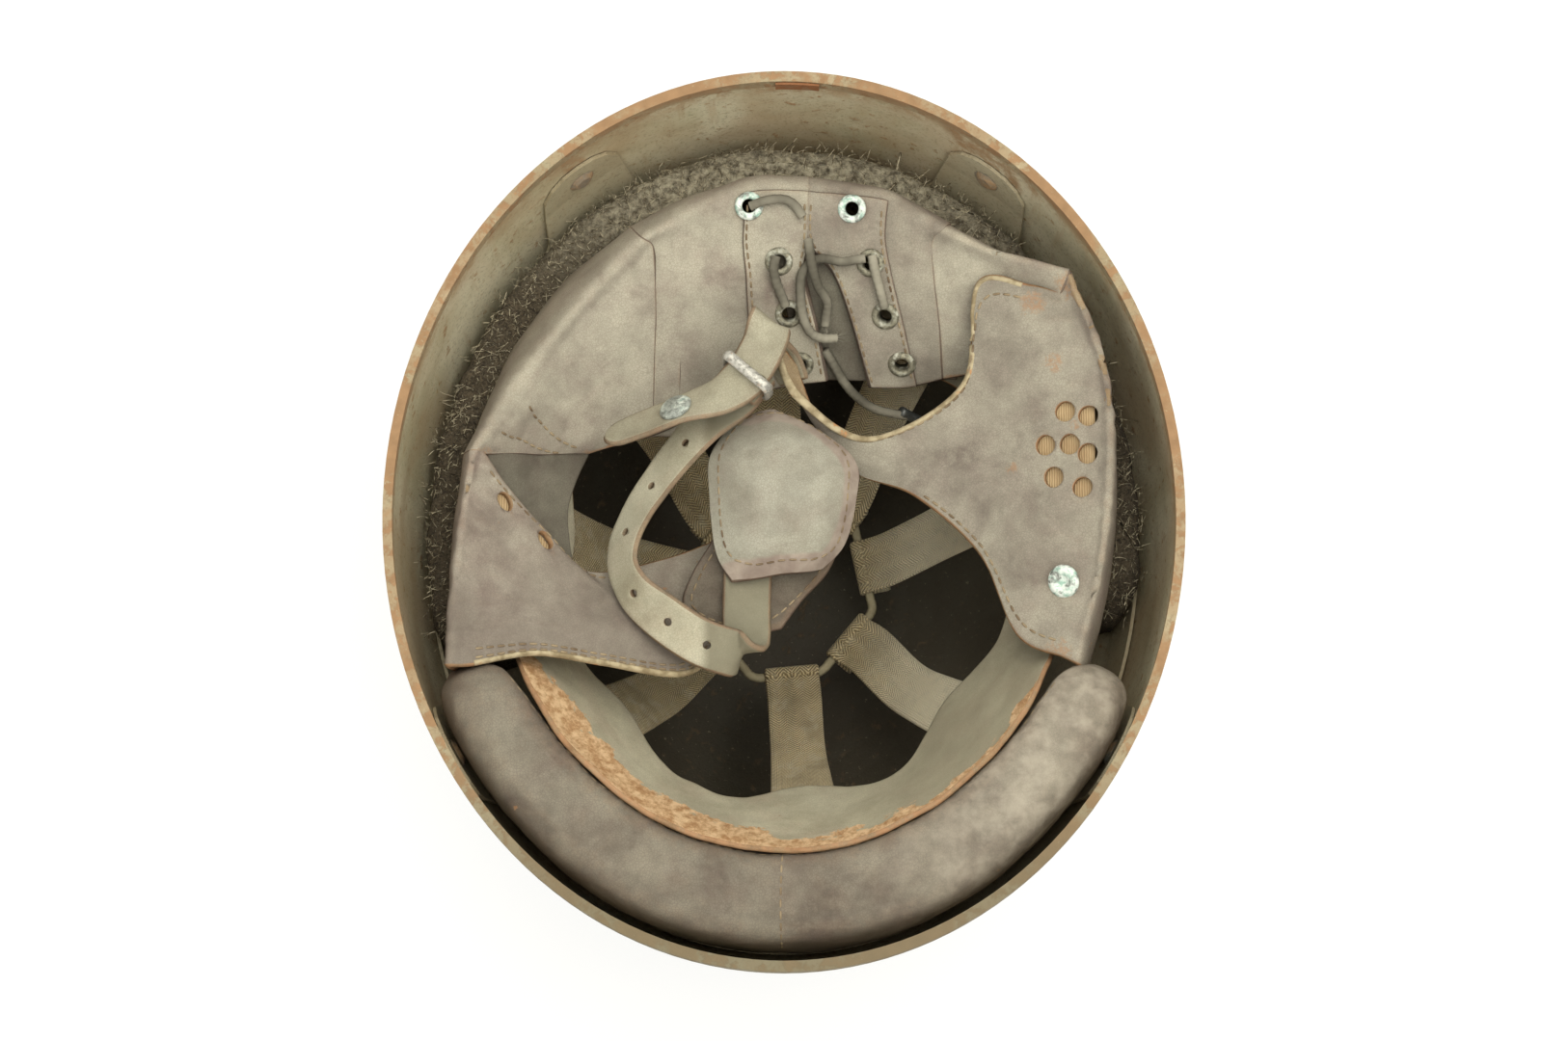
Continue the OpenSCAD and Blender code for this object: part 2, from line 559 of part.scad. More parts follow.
module skirt_band() {
    color([0.4, 0.34, 0.33])
        sheet(reversed(skirt_ribs), leather_thickness, 78, 8);
}

module left_gusset() {
    color([0.46, 0.42, 0.4])
        sheet(reversed(left_gusset_ribs), leather_thickness, 18, 8);
}

module right_gusset() {
    color([0.44, 0.4, 0.38])
        sheet(reversed(right_gusset_ribs), leather_thickness, 9, 8);
}

// A short hole through a sheet, square to it
module pierce(ribs, uv, diameter) {
    aimed(sheet_point(ribs, uv[0], uv[1]), sheet_normal(ribs, uv[0], uv[1]))
        cylinder(h = 4 * leather_thickness, d = diameter, center = true, $fn = 24);
}

left_hole_places = [[0.88, 0.16], [0.86, 0.34]];
right_hole_places = [[0.635, 0.115], [0.625, 0.04], [0.545, 0.175], [0.55, 0.1], [0.53, 0.04],
    [0.455, 0.145], [0.44, 0.055]];
module left_ear_flap() {
    color([0.38, 0.32, 0.31])
        difference() {
            sheet(left_flap_ribs, leather_thickness, 12, 20);
            for (uv = left_hole_places)
                pierce(left_flap_ribs, uv, hearing_hole);
        }
}

module left_flap_lining() {
    color([0.72, 0.62, 0.46])
        sheet(left_flap_ribs, lining_thickness, 10, 12,
            lift = (leather_thickness + lining_thickness) / 2 + layer_gap,
            us = [0.02, 0.98], vs = [0.03, 0.6]);
}

stud_uv = [0.19, 0.075];
module right_ear_flap() {
    color([0.45, 0.4, 0.4])
        difference() {
            sheet(right_flap_ribs, leather_thickness, 14, 24);
            for (uv = right_hole_places)
                pierce(right_flap_ribs, uv, hearing_hole);
            pierce(right_flap_ribs, stud_uv, flap_stud * 0.4 + 0.3);
        }
}

module right_flap_lining() {
    color([0.72, 0.6, 0.42])
        sheet(right_flap_ribs, lining_thickness, 10, 10,
            lift = -(leather_thickness + lining_thickness) / 2 - layer_gap,
            us = [0.36, 0.9], vs = [0.02, 0.3]);
}

// Press stud: a cap above the leather, a post through it and a washer below
module press_stud(diameter, thickness) {
    rise = thickness / 2 + 0.1;
    translate([0, 0, rise]) cylinder(h = stud_height * 0.5, d = diameter, $fn = 32);
    translate([0, 0, rise + stud_height * 0.5])
        cylinder(h = stud_height * 0.5, d1 = diameter, d2 = diameter * 0.7, $fn = 32);
    translate([0, 0, -rise - 0.8]) cylinder(h = 2 * rise + 0.8, d = diameter * 0.4, $fn = 24);
    translate([0, 0, -rise - 0.8]) cylinder(h = 0.8, d = diameter * 0.8, $fn = 32);
}

module flap_stud_piece() {
    color([0.72, 0.76, 0.72])
        aimed(sheet_point(right_flap_ribs, stud_uv[0], stud_uv[1]),
            sheet_normal(right_flap_ribs, stud_uv[0], stud_uv[1]))
            press_stud(flap_stud, leather_thickness);
}

// Neck panels with the holes of their three lower eyelets
left_eyelet_places = [[0.84, 0.2], [0.85, 0.58], [0.85, 0.86]];
right_eyelet_places = [[0.44, 0.2], [0.45, 0.58], [0.5, 0.84]];
eyelet_cut = eyelet_barrel + 2 * eyelet_clearance;
module left_neck_panel() {
    color([0.48, 0.45, 0.43])
        difference() {
            sheet(reversed(left_panel_ribs), leather_thickness, 14, 10);
            for (uv = left_eyelet_places)
                pierce(reversed(left_panel_ribs), [1 - uv[0], uv[1]], eyelet_cut);
        }
}

module right_neck_panel() {
    color([0.47, 0.43, 0.42])
        difference() {
            sheet(reversed(right_panel_ribs), leather_thickness, 12, 10);
            for (uv = right_eyelet_places)
                pierce(reversed(right_panel_ribs), [1 - uv[0], uv[1]], eyelet_cut);
        }
}

// Facings: narrow strips sewn on the panels along the lacing
facing_lift = (leather_thickness + lining_thickness) / 2 + layer_gap;
module left_lace_facing() {
    color([0.44, 0.4, 0.38])
        difference() {
            sheet(reversed(left_panel_ribs), lining_thickness, 6, 10, lift = facing_lift,
                us = [0.01, 0.38], vs = [0.06, 0.99]);
            for (uv = left_eyelet_places)
                pierce(reversed(left_panel_ribs), [1 - uv[0], uv[1]], eyelet_cut);
        }
}

module right_lace_facing() {
    color([0.44, 0.4, 0.38])
        difference() {
            sheet(reversed(right_panel_ribs), lining_thickness, 8, 10, lift = facing_lift,
                us = [0.37, 0.99], vs = [0.06, 0.99]);
            for (uv = right_eyelet_places)
                pierce(reversed(right_panel_ribs), [1 - uv[0], uv[1]], eyelet_cut);
        }
}

// Tongue that closes the gap behind the lacing
tongue_places = [
    [[-3, 65, 17.4], [-1, 58, 19.4], [2, 48, 24], [5, 38.5, 30.8]],
    [[5, 65, 17.6], [8, 58, 19.6], [12, 48, 24.2], [16, 38, 31]],
    [[14, 65, 17.4], [18, 58, 19.4], [23, 48, 24], [27, 38, 31]]];
tongue_ribs = [for (r = tongue_places) places(r)];
module lace_tongue() {
    color([0.33, 0.3, 0.28])
        sheet(reversed(tongue_ribs), lining_thickness, 8, 8);
}

// Eyelet: a flange on the leather, a barrel through it and a rolled edge below
module eyelet(grip) {
    low = -leather_thickness / 2 - 0.25;
    high = low + grip + 0.6;
    r = eyelet_hole / 2;
    rotate_extrude($fn = 32)
        polygon([[r, low - eyelet_thickness], [eyelet_barrel / 2 + 0.8, low - eyelet_thickness],
            [eyelet_barrel / 2 + 0.8, low], [eyelet_barrel / 2, low], [eyelet_barrel / 2, high],
            [eyelet_flange / 2, high], [eyelet_flange / 2 - 0.3, high + eyelet_thickness],
            [r, high + eyelet_thickness]]);
}

module eyelet_row(ribs, spots) {
    for (uv = spots)
        aimed(sheet_point(ribs, uv[0], uv[1]), sheet_normal(ribs, uv[0], uv[1]))
            eyelet(leather_thickness + layer_gap + lining_thickness);
}

module left_eyelets() {
    color([0.55, 0.58, 0.56])
        eyelet_row(reversed(left_panel_ribs), [for (p = left_eyelet_places) [1 - p[0], p[1]]]);
}

module right_eyelets() {
    color([0.55, 0.58, 0.56])
        eyelet_row(reversed(right_panel_ribs), [for (p = right_eyelet_places) [1 - p[0], p[1]]]);
}

// The two uppermost eyelets sit on the skirt, just behind the curtain's fold
top_eyelet_spots = [[0.552, 0.8], [0.424, 0.8]];
module top_eyelets() {
    color([0.7, 0.74, 0.7])
        for (uv = top_eyelet_spots)
            aimed(sheet_point(reversed(skirt_ribs), uv[0], uv[1]),
                sheet_normal(reversed(skirt_ribs), uv[0], uv[1]))
                translate([0, 0, leather_thickness / 2 + 0.1])
                    rotate_extrude($fn = 32)
                        polygon([[eyelet_hole / 2, 0], [eyelet_flange / 2, 0],
                            [eyelet_flange / 2 - 0.3, eyelet_thickness],
                            [eyelet_hole / 2, eyelet_thickness]]);
}

// Laces and straps have routes in millimetres on a helmet of the usual size: across, along and
// below the rim
usual_half_width = 122.5;
usual_half_length = 140;
usual_depth = 165;
function strap_place(p) = [p[0] / usual_half_width * half_w, p[1] / usual_half_length * half_l,
    rim_z - p[2] / usual_depth * helmet_depth];

// Lace: a crossing over the curtain's fold, two crossings between eyelets and three free ends
lace_over_fold = [[-10.6, 101.6, 19], [-6.4, 103, 17.8], [-1, 103.8, 18.2], [2.8, 102.4, 18.8],
    [6, 98.4, 19.6]];
lace_left_crossing = [[-2.6, 86.2, 22.4], [-3.2, 82, 22.8], [-2, 77.5, 25], [0.6, 71.5, 28.2]];
lace_right_crossing = [[27.6, 86.4, 21.8], [28.6, 81.6, 22.6], [30.2, 76, 25], [31.6, 71, 28]];
lace_top_route = [[7.6, 91.4, 21.6], [8.2, 86.5, 21], [9.2, 81.5, 23], [10.8, 77.5, 27], [13.6, 73.5, 31],
    [13.2, 69.5, 34], [12.9, 67, 35.4]];
lace_short_route = [[25.4, 85.6, 22], [22, 85, 22], [18, 84.6, 22.6], [12, 86, 24], [8, 84.6, 24.6],
    [5.4, 80.5, 25], [5.2, 74.5, 25.8], [6, 68.5, 29.6], [8.4, 64.4, 33.4], [12, 63, 35.4], [16.5, 63.4, 37]];
lace_long_route = [[12.9, 60.6, 41.6], [15.4, 57.2, 44.6], [18.9, 52, 48.5], [23.2, 48, 53], [28.9, 45.2, 58],
    [35.7, 44.3, 62], [40.7, 44, 64.6], [44, 43, 67]];
module lace(route, steps) {
    tube([for (p = route) strap_place(p)], lace_diameter, steps);
}

module lace_over() {
    color([0.36, 0.34, 0.3]) lace(lace_over_fold, 8);
}

module lace_crossings() {
    color([0.42, 0.39, 0.35]) {
        lace(lace_left_crossing, 8);
        lace(lace_right_crossing, 8);
    }
}

module lace_top_end() {
    color([0.5, 0.47, 0.42]) lace(lace_top_route, 12);
}

module lace_short_end() {
    color([0.45, 0.42, 0.37]) lace(lace_short_route, 20);
}

module lace_long_end() {
    color([0.4, 0.38, 0.33]) lace(lace_long_route, 18);
}

// Tongue strap: from under the right flap's end over a fold to the buckle's bar, and its free
// end beyond the bar
across_bar = [0.76, -0.65, 0];
along_bar = [0.65, 0.76, 0];
tongue_path = [[3, 48.5, 31.5], [-1, 56, 27.8], [-4, 60.8, 23.8], [-4.8, 64, 18.8], [-4.6, 62.6, 14.2],
    [-5.4, 58, 13.3], [-7.2, 53.8, 14.6], [-9.3, 50.2, 15.6]];
tongue_sides = [for (p = tongue_path) across_bar];
tongue_route = [for (p = tongue_path) strap_place(p)];
tail_path = [[-10.4, 48.5, 15.6], [-12.5, 45.6, 16.4], [-20, 40.5, 19], [-32, 37, 22], [-45, 32.5, 25],
    [-55.5, 28.5, 27]];
tail_sides = [across_bar, across_bar, [0.5, -0.75, 0.42], [0.25, -0.66, 0.7], [0.25, -0.66, 0.7],
    [0.25, -0.68, 0.66]];
tail_route = [for (p = tail_path) strap_place(p)];
module tongue_strap() {
    w = tongue_width;
    color([0.55, 0.48, 0.36])
        ribbon(tongue_route, tongue_sides, [w * 0.85, w, w, w, w, w, w, w], strap_thickness, 28);
}

stud_step = 3.1;
tail_stud_at = along(tail_route, stud_step);
tail_stud_aim = unit(cross(along(tail_sides, stud_step),
    along(tail_route, stud_step - 0.1) - along(tail_route, stud_step + 0.1)));
module tongue_tail() {
    w = tongue_width;
    color([0.55, 0.48, 0.36])
        difference() {
            ribbon(tail_route, tail_sides, [w, w, w, w, w * 0.9, w * 0.35], strap_thickness, 26);
            aimed(tail_stud_at, tail_stud_aim)
                cylinder(h = 4 * strap_thickness, d = tongue_stud * 0.4 + 0.3, center = true, $fn = 24);
        }
}

module tongue_stud_piece() {
    color([0.5, 0.56, 0.56])
        aimed(tail_stud_at, tail_stud_aim) press_stud(tongue_stud, strap_thickness);
}

// Buckle: a flat rectangular frame that stands square across the tongue, its upper bar over it
buckle_turn = atan2(across_bar[1], across_bar[0]);
bar_rise = strap_thickness / 2 + 0.5 + buckle_bar / 2;
buckle_at = strap_place([-10.3, 48.4, 15.3]);
lower_bar = buckle_at + [0, 0, bar_rise - buckle_height];
module buckle() {
    color([0.62, 0.63, 0.62])
        translate(buckle_at + [0, 0, bar_rise - buckle_height / 2])
            rotate([0, 0, buckle_turn]) rotate([90, 0, 0])
                linear_extrude(buckle_depth, center = true)
                    difference() {
                        square([buckle_width + buckle_bar, buckle_height + buckle_bar], center = true);
                        square([buckle_width - buckle_bar, buckle_height - buckle_bar], center = true);
                    }
}

// Holed strap: from under the cup, over two folds and up to the buckle's lower bar
strap_path = [[-9.5, 12, 34], [-10.5, 0, 34.4], [-11.3, -12, 34.8], [-11.7, -24, 35.2],
    [-11.8, -33.5, 35.4], [-13.2, -38, 33.4], [-17.5, -38, 31.4], [-27, -34.5, 31], [-38, -27, 31],
    [-47, -18.5, 31.5], [-50.5, -8, 31.8], [-46.5, 5, 31.6], [-36.5, 20, 30.2], [-24.5, 34, 28],
    [-15.5, 42, 26.2]];
strap_sides = [[1, 0, 0], [1, 0, 0], [1, 0, 0], [1, 0.1, 0], [0.9, 0.4, 0], [0.78, 0.63, 0],
    [0.5, 0.85, 0.1], [0.35, 0.88, 0.3], [0.4, 0.83, 0.38], [0.5, 0.55, 0.7], [0.62, 0, 0.78],
    [0.62, -0.25, 0.74], [0.62, -0.45, 0.64], [0.62, -0.66, 0.42], [0.76, -0.65, 0]];
bar_loop = buckle_bar / 2 + 0.35 + strap_thickness / 2;
loop_places = [[-1.5, -1], [1.6, -1], [3.2, -0.7], [4.1, 0], [3.2, 0.7], [1.6, 1], [-1.5, 1], [-5, 0.9]];
strap_route = concat([for (p = strap_path) strap_place(p)],
    [for (q = loop_places) lower_bar + along_bar * q[0] + [0, 0, q[1] * bar_loop]]);
strap_hole_spots = [4.1, 6.7, 7.8, 8.9, 10.6, 11.6, 12.5];
module holed_strap() {
    w = strap_width;
    color([0.6, 0.54, 0.43])
        difference() {
            ribbon(strap_route, concat(strap_sides, [for (q = loop_places) across_bar]),
                [for (p = strap_route) w], strap_thickness, 76);
            for (s = strap_hole_spots)
                let (h = unit(along(strap_route, s + 0.1) - along(strap_route, s - 0.1)))
                    aimed(along(strap_route, s), unit(cross(h, along(strap_sides, s))))
                        cylinder(h = 3 * strap_thickness, d = strap_hole, center = true, $fn = 16);
        }
}

// Chin cup: rows run from its left edge to its right edge, from the bottom up
cup_places = [
    [[-13, -11, 19.2], [-7, -10.5, 18.2], [0, -9.6, 17.4], [6, -9, 18.4], [9.5, -8, 20.2]],
    [[-17, -4.5, 19.4], [-9, -4, 16], [0, -3.5, 14.8], [9, -3, 16.4], [15, -2.5, 20.2]],
    [[-18.4, 7, 19.6], [-10, 7, 14.6], [0, 7, 13.2], [10, 7, 14.6], [18, 7, 19.4]],
    [[-18.6, 16, 18.4], [-10, 16.5, 14.2], [0, 17, 12.8], [10, 16.5, 14.2], [18.2, 15, 18.2]],
    [[-13.5, 23.5, 19.6], [-8, 24, 18], [-1, 24.4, 16.8], [5.8, 23, 17], [10.4, 21.4, 18.2]],
    [[-7.5, 26.6, 20.2], [-5.5, 27.2, 19.8], [-3, 27.5, 19.4], [-0.4, 26.4, 19.4], [2.6, 25.2, 19.6]]];
cup_ribs = [for (r = cup_places) places(r)];
module chin_cup() {
    color([0.56, 0.52, 0.46])
        sheet(cup_ribs, leather_thickness, 14, 12);
}

lining_places = [
    [[-17, -21.5, 24.8], [-12, -22, 24.2], [-6, -21.5, 24], [-1, -20.5, 24.4]],
    [[-25, -16, 24.6], [-15, -16, 23.8], [-5, -15.5, 23.4], [4, -14.5, 24]],
    [[-23, -9, 23.4], [-12, -9, 22.6], [0, -8.5, 22.6], [11, -7.5, 23.4]],
    [[-16, 2, 23.2], [-7, 2, 22.4], [4, 2, 22.4], [14.5, 2, 23.2]],
    [[-15, 12, 22.8], [-7, 12, 22.2], [3, 12, 22.2], [13, 11, 22.8]],
    [[-11, 19.5, 22.6], [-6, 20, 22.2], [0, 20, 22.2], [6, 18.5, 22.6]]];
lining_ribs = [for (r = lining_places) places(r)];
module chin_cup_lining() {
    color([0.47, 0.44, 0.39])
        sheet(lining_ribs, leather_thickness, 12, 9);
}

shell();
rim_strip();
rim_clip();
liner_band();
liner_rivets();
buffer_ring();
brow_pad();
sweatband();
crown_tape(0);  // crown_tape_1
crown_tape(1);  // crown_tape_2
crown_tape(2);  // crown_tape_3
crown_tape(3);  // crown_tape_4
crown_tape(4);  // crown_tape_5
crown_tape(5);  // crown_tape_6
crown_tape(6);  // crown_tape_7
crown_tape(7);  // crown_tape_8
crown_cord();
skirt_band();
left_gusset();
right_gusset();
top_eyelets();
left_ear_flap();
left_flap_lining();
right_ear_flap();
right_flap_lining();
flap_stud_piece();  // flap_stud
tongue_strap();
tongue_tail();
tongue_stud_piece();  // tongue_stud
left_neck_panel();
right_neck_panel();
left_lace_facing();
right_lace_facing();
lace_tongue();
left_eyelets();
right_eyelets();
lace_over();  // lace_over_fold
lace_crossings();
lace_top_end();
lace_short_end();
lace_long_end();
buckle();
holed_strap();
chin_cup();
chin_cup_lining();
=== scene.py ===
import json
import math
import random

import bpy
import numpy as np
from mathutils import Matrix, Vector, noise
from mathutils.bvhtree import BVHTree
from mathutils.kdtree import KDTree

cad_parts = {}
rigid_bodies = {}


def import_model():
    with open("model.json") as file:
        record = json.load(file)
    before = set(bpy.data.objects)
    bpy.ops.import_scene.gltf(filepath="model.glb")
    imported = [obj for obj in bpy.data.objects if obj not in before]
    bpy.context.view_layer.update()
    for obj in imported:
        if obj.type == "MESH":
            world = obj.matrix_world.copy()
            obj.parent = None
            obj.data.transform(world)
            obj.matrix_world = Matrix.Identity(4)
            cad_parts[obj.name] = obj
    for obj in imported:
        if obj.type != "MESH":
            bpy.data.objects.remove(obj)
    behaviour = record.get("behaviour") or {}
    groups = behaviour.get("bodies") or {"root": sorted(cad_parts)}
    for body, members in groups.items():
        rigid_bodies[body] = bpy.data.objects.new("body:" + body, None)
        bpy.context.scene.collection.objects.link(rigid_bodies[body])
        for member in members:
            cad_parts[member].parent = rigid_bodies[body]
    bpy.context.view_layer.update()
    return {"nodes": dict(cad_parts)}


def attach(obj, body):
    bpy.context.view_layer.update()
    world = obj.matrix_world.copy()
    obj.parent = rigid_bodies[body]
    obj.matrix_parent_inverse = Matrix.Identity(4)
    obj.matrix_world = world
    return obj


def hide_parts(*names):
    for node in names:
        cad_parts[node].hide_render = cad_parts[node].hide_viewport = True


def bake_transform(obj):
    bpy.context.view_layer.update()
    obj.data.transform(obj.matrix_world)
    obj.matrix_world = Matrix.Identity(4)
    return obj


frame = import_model()

# The studio: the helmet lies on its crown on a white table under large soft lamps, and the
# camera looks down into it through a long lens, from a little on the brow's side.
TILT = 11
DISTANCE = 1.3
AIM = Vector((0, -0.0026, 0.165))


def stand(name, data, at=(0, 0, 0), turn=(0, 0, 0)):
    """Put a camera, a lamp or a mesh into the scene."""
    made = bpy.data.objects.new(name, data)
    made.location = at
    made.rotation_euler = [math.radians(a) for a in turn]
    bpy.context.scene.collection.objects.link(made)
    return made


def feed(tree, socket, value):
    """Give a socket a number or a colour, or link it to the socket that feeds it."""
    if isinstance(value, bpy.types.NodeSocket):
        tree.links.new(value, socket)
    else:
        socket.default_value = value


def node(tree, kind, inputs=None, **settings):
    """A shader node with its settings, and what feeds its inputs."""
    made = tree.nodes.new("ShaderNode" + kind)
    for name, value in settings.items():
        setattr(made, name, value)
    for key, value in (inputs or {}).items():
        feed(tree, made.inputs[key], value)
    return made


def maths(operation):
    """A function that adds one operation on two values to a tree."""
    return lambda tree, a, b: node(tree, "Math", {0: a, 1: b}, operation=operation).outputs[0]


times, plus, less, most = [maths(name) for name in ("MULTIPLY", "ADD", "SUBTRACT", "MAXIMUM")]


def finish_of(name):
    """A new material and its node tree."""
    made = bpy.data.materials.new(name)
    made.use_nodes = True
    made.node_tree.nodes["Principled BSDF"].inputs["Specular IOR Level"].default_value = 0.2
    return made, made.node_tree


def coated(tree, colour, rough, relief=None, deep=0.0003, strength=0.7, **more):
    """Lead a colour, a roughness, a relief and what else is given to a tree's surface shader."""
    surface = tree.nodes["Principled BSDF"].inputs
    if relief is not None:
        more["Normal"] = node(tree, "Bump", {"Height": relief, "Distance": deep,
                                             "Strength": strength}).outputs[0]
    for label, value in {"Base_Color": colour, "Roughness": rough, **more}.items():
        feed(tree, surface[label.replace("_", " ")], value)


camera = bpy.data.cameras.new("camera")
camera.lens = 97.9
camera.sensor_width = 36
camera.clip_end = 20
seat = AIM + DISTANCE * Vector((0, -math.sin(math.radians(TILT)), math.cos(math.radians(TILT))))
bpy.context.scene.camera = stand("camera", camera, seat, (TILT, 0, 0))
bpy.context.scene.view_settings.view_transform = "Standard"

for lamp_name, at, turn, power, width in (
        ("top_lamp", (0.3, 0.35, 2.0), (-10, 8.5, 0), 30, 1.5),
        ("brow_lamp", (0.7, -1.3, 1.6), (40, 24, 0), 10, 1.2)):
    lamp = bpy.data.lights.new(lamp_name, "AREA")
    lamp.energy = power
    lamp.size = width
    lamp.color = (0.99, 0.97, 0.86)
    stand(lamp_name, lamp, at, turn)
world = bpy.data.worlds.new("studio")
bpy.context.scene.world = world
world.use_nodes = True
world.node_tree.nodes["Background"].inputs["Color"].default_value = (0.985, 0.985, 0.9, 1)

table_top, tree = finish_of("table_top")
coated(tree, (0.86, 0.86, 0.85, 1), 0.9)
rays = node(tree, "LightPath").outputs
seen = most(tree, most(tree, rays["Is Camera Ray"], rays["Is Glossy Ray"]),
            rays["Is Transmission Ray"])
glow = node(tree, "Emission", {"Color": (1, 1, 1, 1), "Strength": 1.06})
both = node(tree, "MixShader", {0: times(tree, seen, 0.7),
                                1: tree.nodes["Principled BSDF"].outputs[0], 2: glow.outputs[0]})
tree.links.new(both.outputs[0], tree.nodes["Material Output"].inputs["Surface"])
mesh = bpy.data.meshes.new("table")
mesh.from_pydata([(x * 4, y * 4, 0) for x, y in ((-1, -1), (1, -1), (1, 1), (-1, 1))], [],
                 [(0, 1, 2, 3)])
mesh.materials.append(table_top)
stand("table", mesh)


# The lace's three free ends: a round braided lace, limp and kinked, that leaves the eyelets and
# lies on the leather. Two ends are frayed and the long one keeps its metal tip.
def laid(points):
    """Points in millimetres, across, along and below the rim, as places in metres."""
    return np.array([(x, y, 165 - d) for x, y, d in points]) / 1000


def weights(count, stops, ring=False):
    """How much each of a curve's points counts at each stop, from 0 to 1 along it."""
    table = np.zeros((len(stops), count))
    last = count if ring else count - 1
    for row, stop in zip(table, stops):
        i = min(int(stop * last), last - 1)
        t = stop * last - i
        parts = (-t + 2 * t * t - t ** 3, 2 - 5 * t * t + 3 * t ** 3,
                 t + 4 * t * t - 3 * t ** 3, t ** 3 - t * t)
        for k, part in enumerate(parts):
            j = i - 1 + k
            row[j % count if ring else min(max(j, 0), count - 1)] += part / 2
    return table


def along(points, steps):
    """A smooth line through points."""
    return weights(len(points), np.linspace(0, 1, steps + 1)) @ np.array(points, float)


def unit(vectors):
    """The vectors at length 1."""
    return vectors / np.linalg.norm(vectors, axis=-1, keepdims=True)


def turns(count):
    """Angles that go once round a circle in even steps."""
    return np.linspace(0, 2 * math.pi, count, endpoint=False)


def run_of(points):
    """Distance along a line at each of its points."""
    return np.concatenate([[0], np.cumsum(np.linalg.norm(np.diff(points, axis=0), axis=1))])


def piece(name, points, faces, finishes, slots=None):
    """A smooth mesh with its finishes; slots says which of them each face takes."""
    mesh = bpy.data.meshes.new(name)
    mesh.from_pydata([tuple(p) for p in points], [], [tuple(f) for f in faces])
    mesh.polygons.foreach_set("use_smooth", [True] * len(mesh.polygons))
    if slots is not None:
        mesh.polygons.foreach_set("material_index", slots)
    for finish in finishes:
        mesh.materials.append(finish)
    return stand(name, mesh)


def swept(name, rings, finishes, closed=False):
    """A solid through rings of points that turn anticlockwise about its path."""
    stations, corners = rings.shape[:2]
    faces = []
    for k in range(stations if closed else stations - 1):
        a, b = k * corners, (k + 1) % stations * corners
        faces += [(a + j, b + j, b + (j + 1) % corners, a + (j + 1) % corners)
                  for j in range(corners)]
    if not closed:
        faces += [tuple(range(corners)),
                  tuple((stations - 1) * corners + j for j in reversed(range(corners)))]
    return piece(name, rings.reshape(-1, 3), faces, finishes)


def frames(path, closed=False):
    """Direction, level side and upper side at each point of a path."""
    if closed:
        heading = unit(np.roll(path, -1, 0) - np.roll(path, 1, 0))
    else:
        heading = unit(np.gradient(path, axis=0))
    side = unit(np.cross((0, 0, 1), heading))
    return heading, side, np.cross(heading, side)


def cord_rings(path, diameter, strands, pitch, corners=12, closed=False):
    """Rings of a laid or braided cord whose strands wind round it both ways."""
    heading, side, up = frames(path, closed)
    turn = run_of(path)[:, None] / pitch * 2 * math.pi
    around = turns(corners)[None, :]
    braid = np.cos(strands * (around + turn)) * np.cos(strands * (around - turn))
    reach = diameter / 2 * (0.97 + 0.07 * braid)
    return (path[:, None, :] + side[:, None, :] * (np.cos(around) * reach)[..., None]
            + up[:, None, :] * (np.sin(around) * reach)[..., None])


def fit(part, rig_slot, body=None, *stands_for):
    """Put a piece on the body it rides on and hide the CAD nodes it stands for; what it is made of
    is not used.
    """
    if body:
        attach(part, body)
    if stands_for:
        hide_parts(*stands_for)


def place_of(tree):
    """The shaded place on its piece, in metres."""
    return node(tree, "TexCoord").outputs["Object"]


def noise_at(tree, where, scale, detail=3, rough=0.5, bend=0.0):
    """Cloudy noise, from 0 to 1."""
    return node(tree, "TexNoise", {"Vector": where, "Scale": scale, "Detail": detail,
                                   "Roughness": rough, "Distortion": bend}).outputs[0]


def toned(tree, value, low, high, start=0.0, stop=1.0):
    """A colour between two, from a value between start and stop."""
    made = node(tree, "ValToRGB", {0: value})
    for element, colour, at in zip(made.color_ramp.elements, (low, high), (start, stop)):
        element.color, element.position = colour, at
    return made.outputs[0]


LACE, LACE_STRANDS, LACE_PITCH = 0.003, 3, 0.012
lace_finish, tree = finish_of("lace_cotton")
where = place_of(tree)
coated(tree, toned(tree, noise_at(tree, where, 60), (0.1, 0.09, 0.07, 1), (0.3, 0.275, 0.22, 1),
                   0.35, 0.7), 0.85, noise_at(tree, where, 900, 4), 0.0004, 0.8)

lace_top_route = [[7.6, 91.4, 21.6], [8.2, 86.5, 21], [9.2, 81.5, 23], [10.8, 77.5, 27],
                  [13.6, 73.5, 31], [13.2, 69.5, 34], [12.9, 67, 35.4]]
lace_short_route = [[25.4, 85.6, 22], [22, 85, 22], [18, 84.6, 22.6], [12, 86, 24], [8, 84.6, 24.6],
                    [5.4, 80.5, 25], [5.2, 74.5, 25.8], [6, 68.5, 29.6], [8.4, 64.4, 33.4],
                    [12, 63, 35.4], [16.5, 63.4, 37]]
lace_long_route = [[12.9, 60.6, 41.6], [15.4, 57.2, 44.6], [18.9, 52, 48.5], [23.2, 48, 53],
                   [28.9, 45.2, 58], [35.7, 44.3, 62], [40.7, 44, 64.6], [44, 43, 67]]


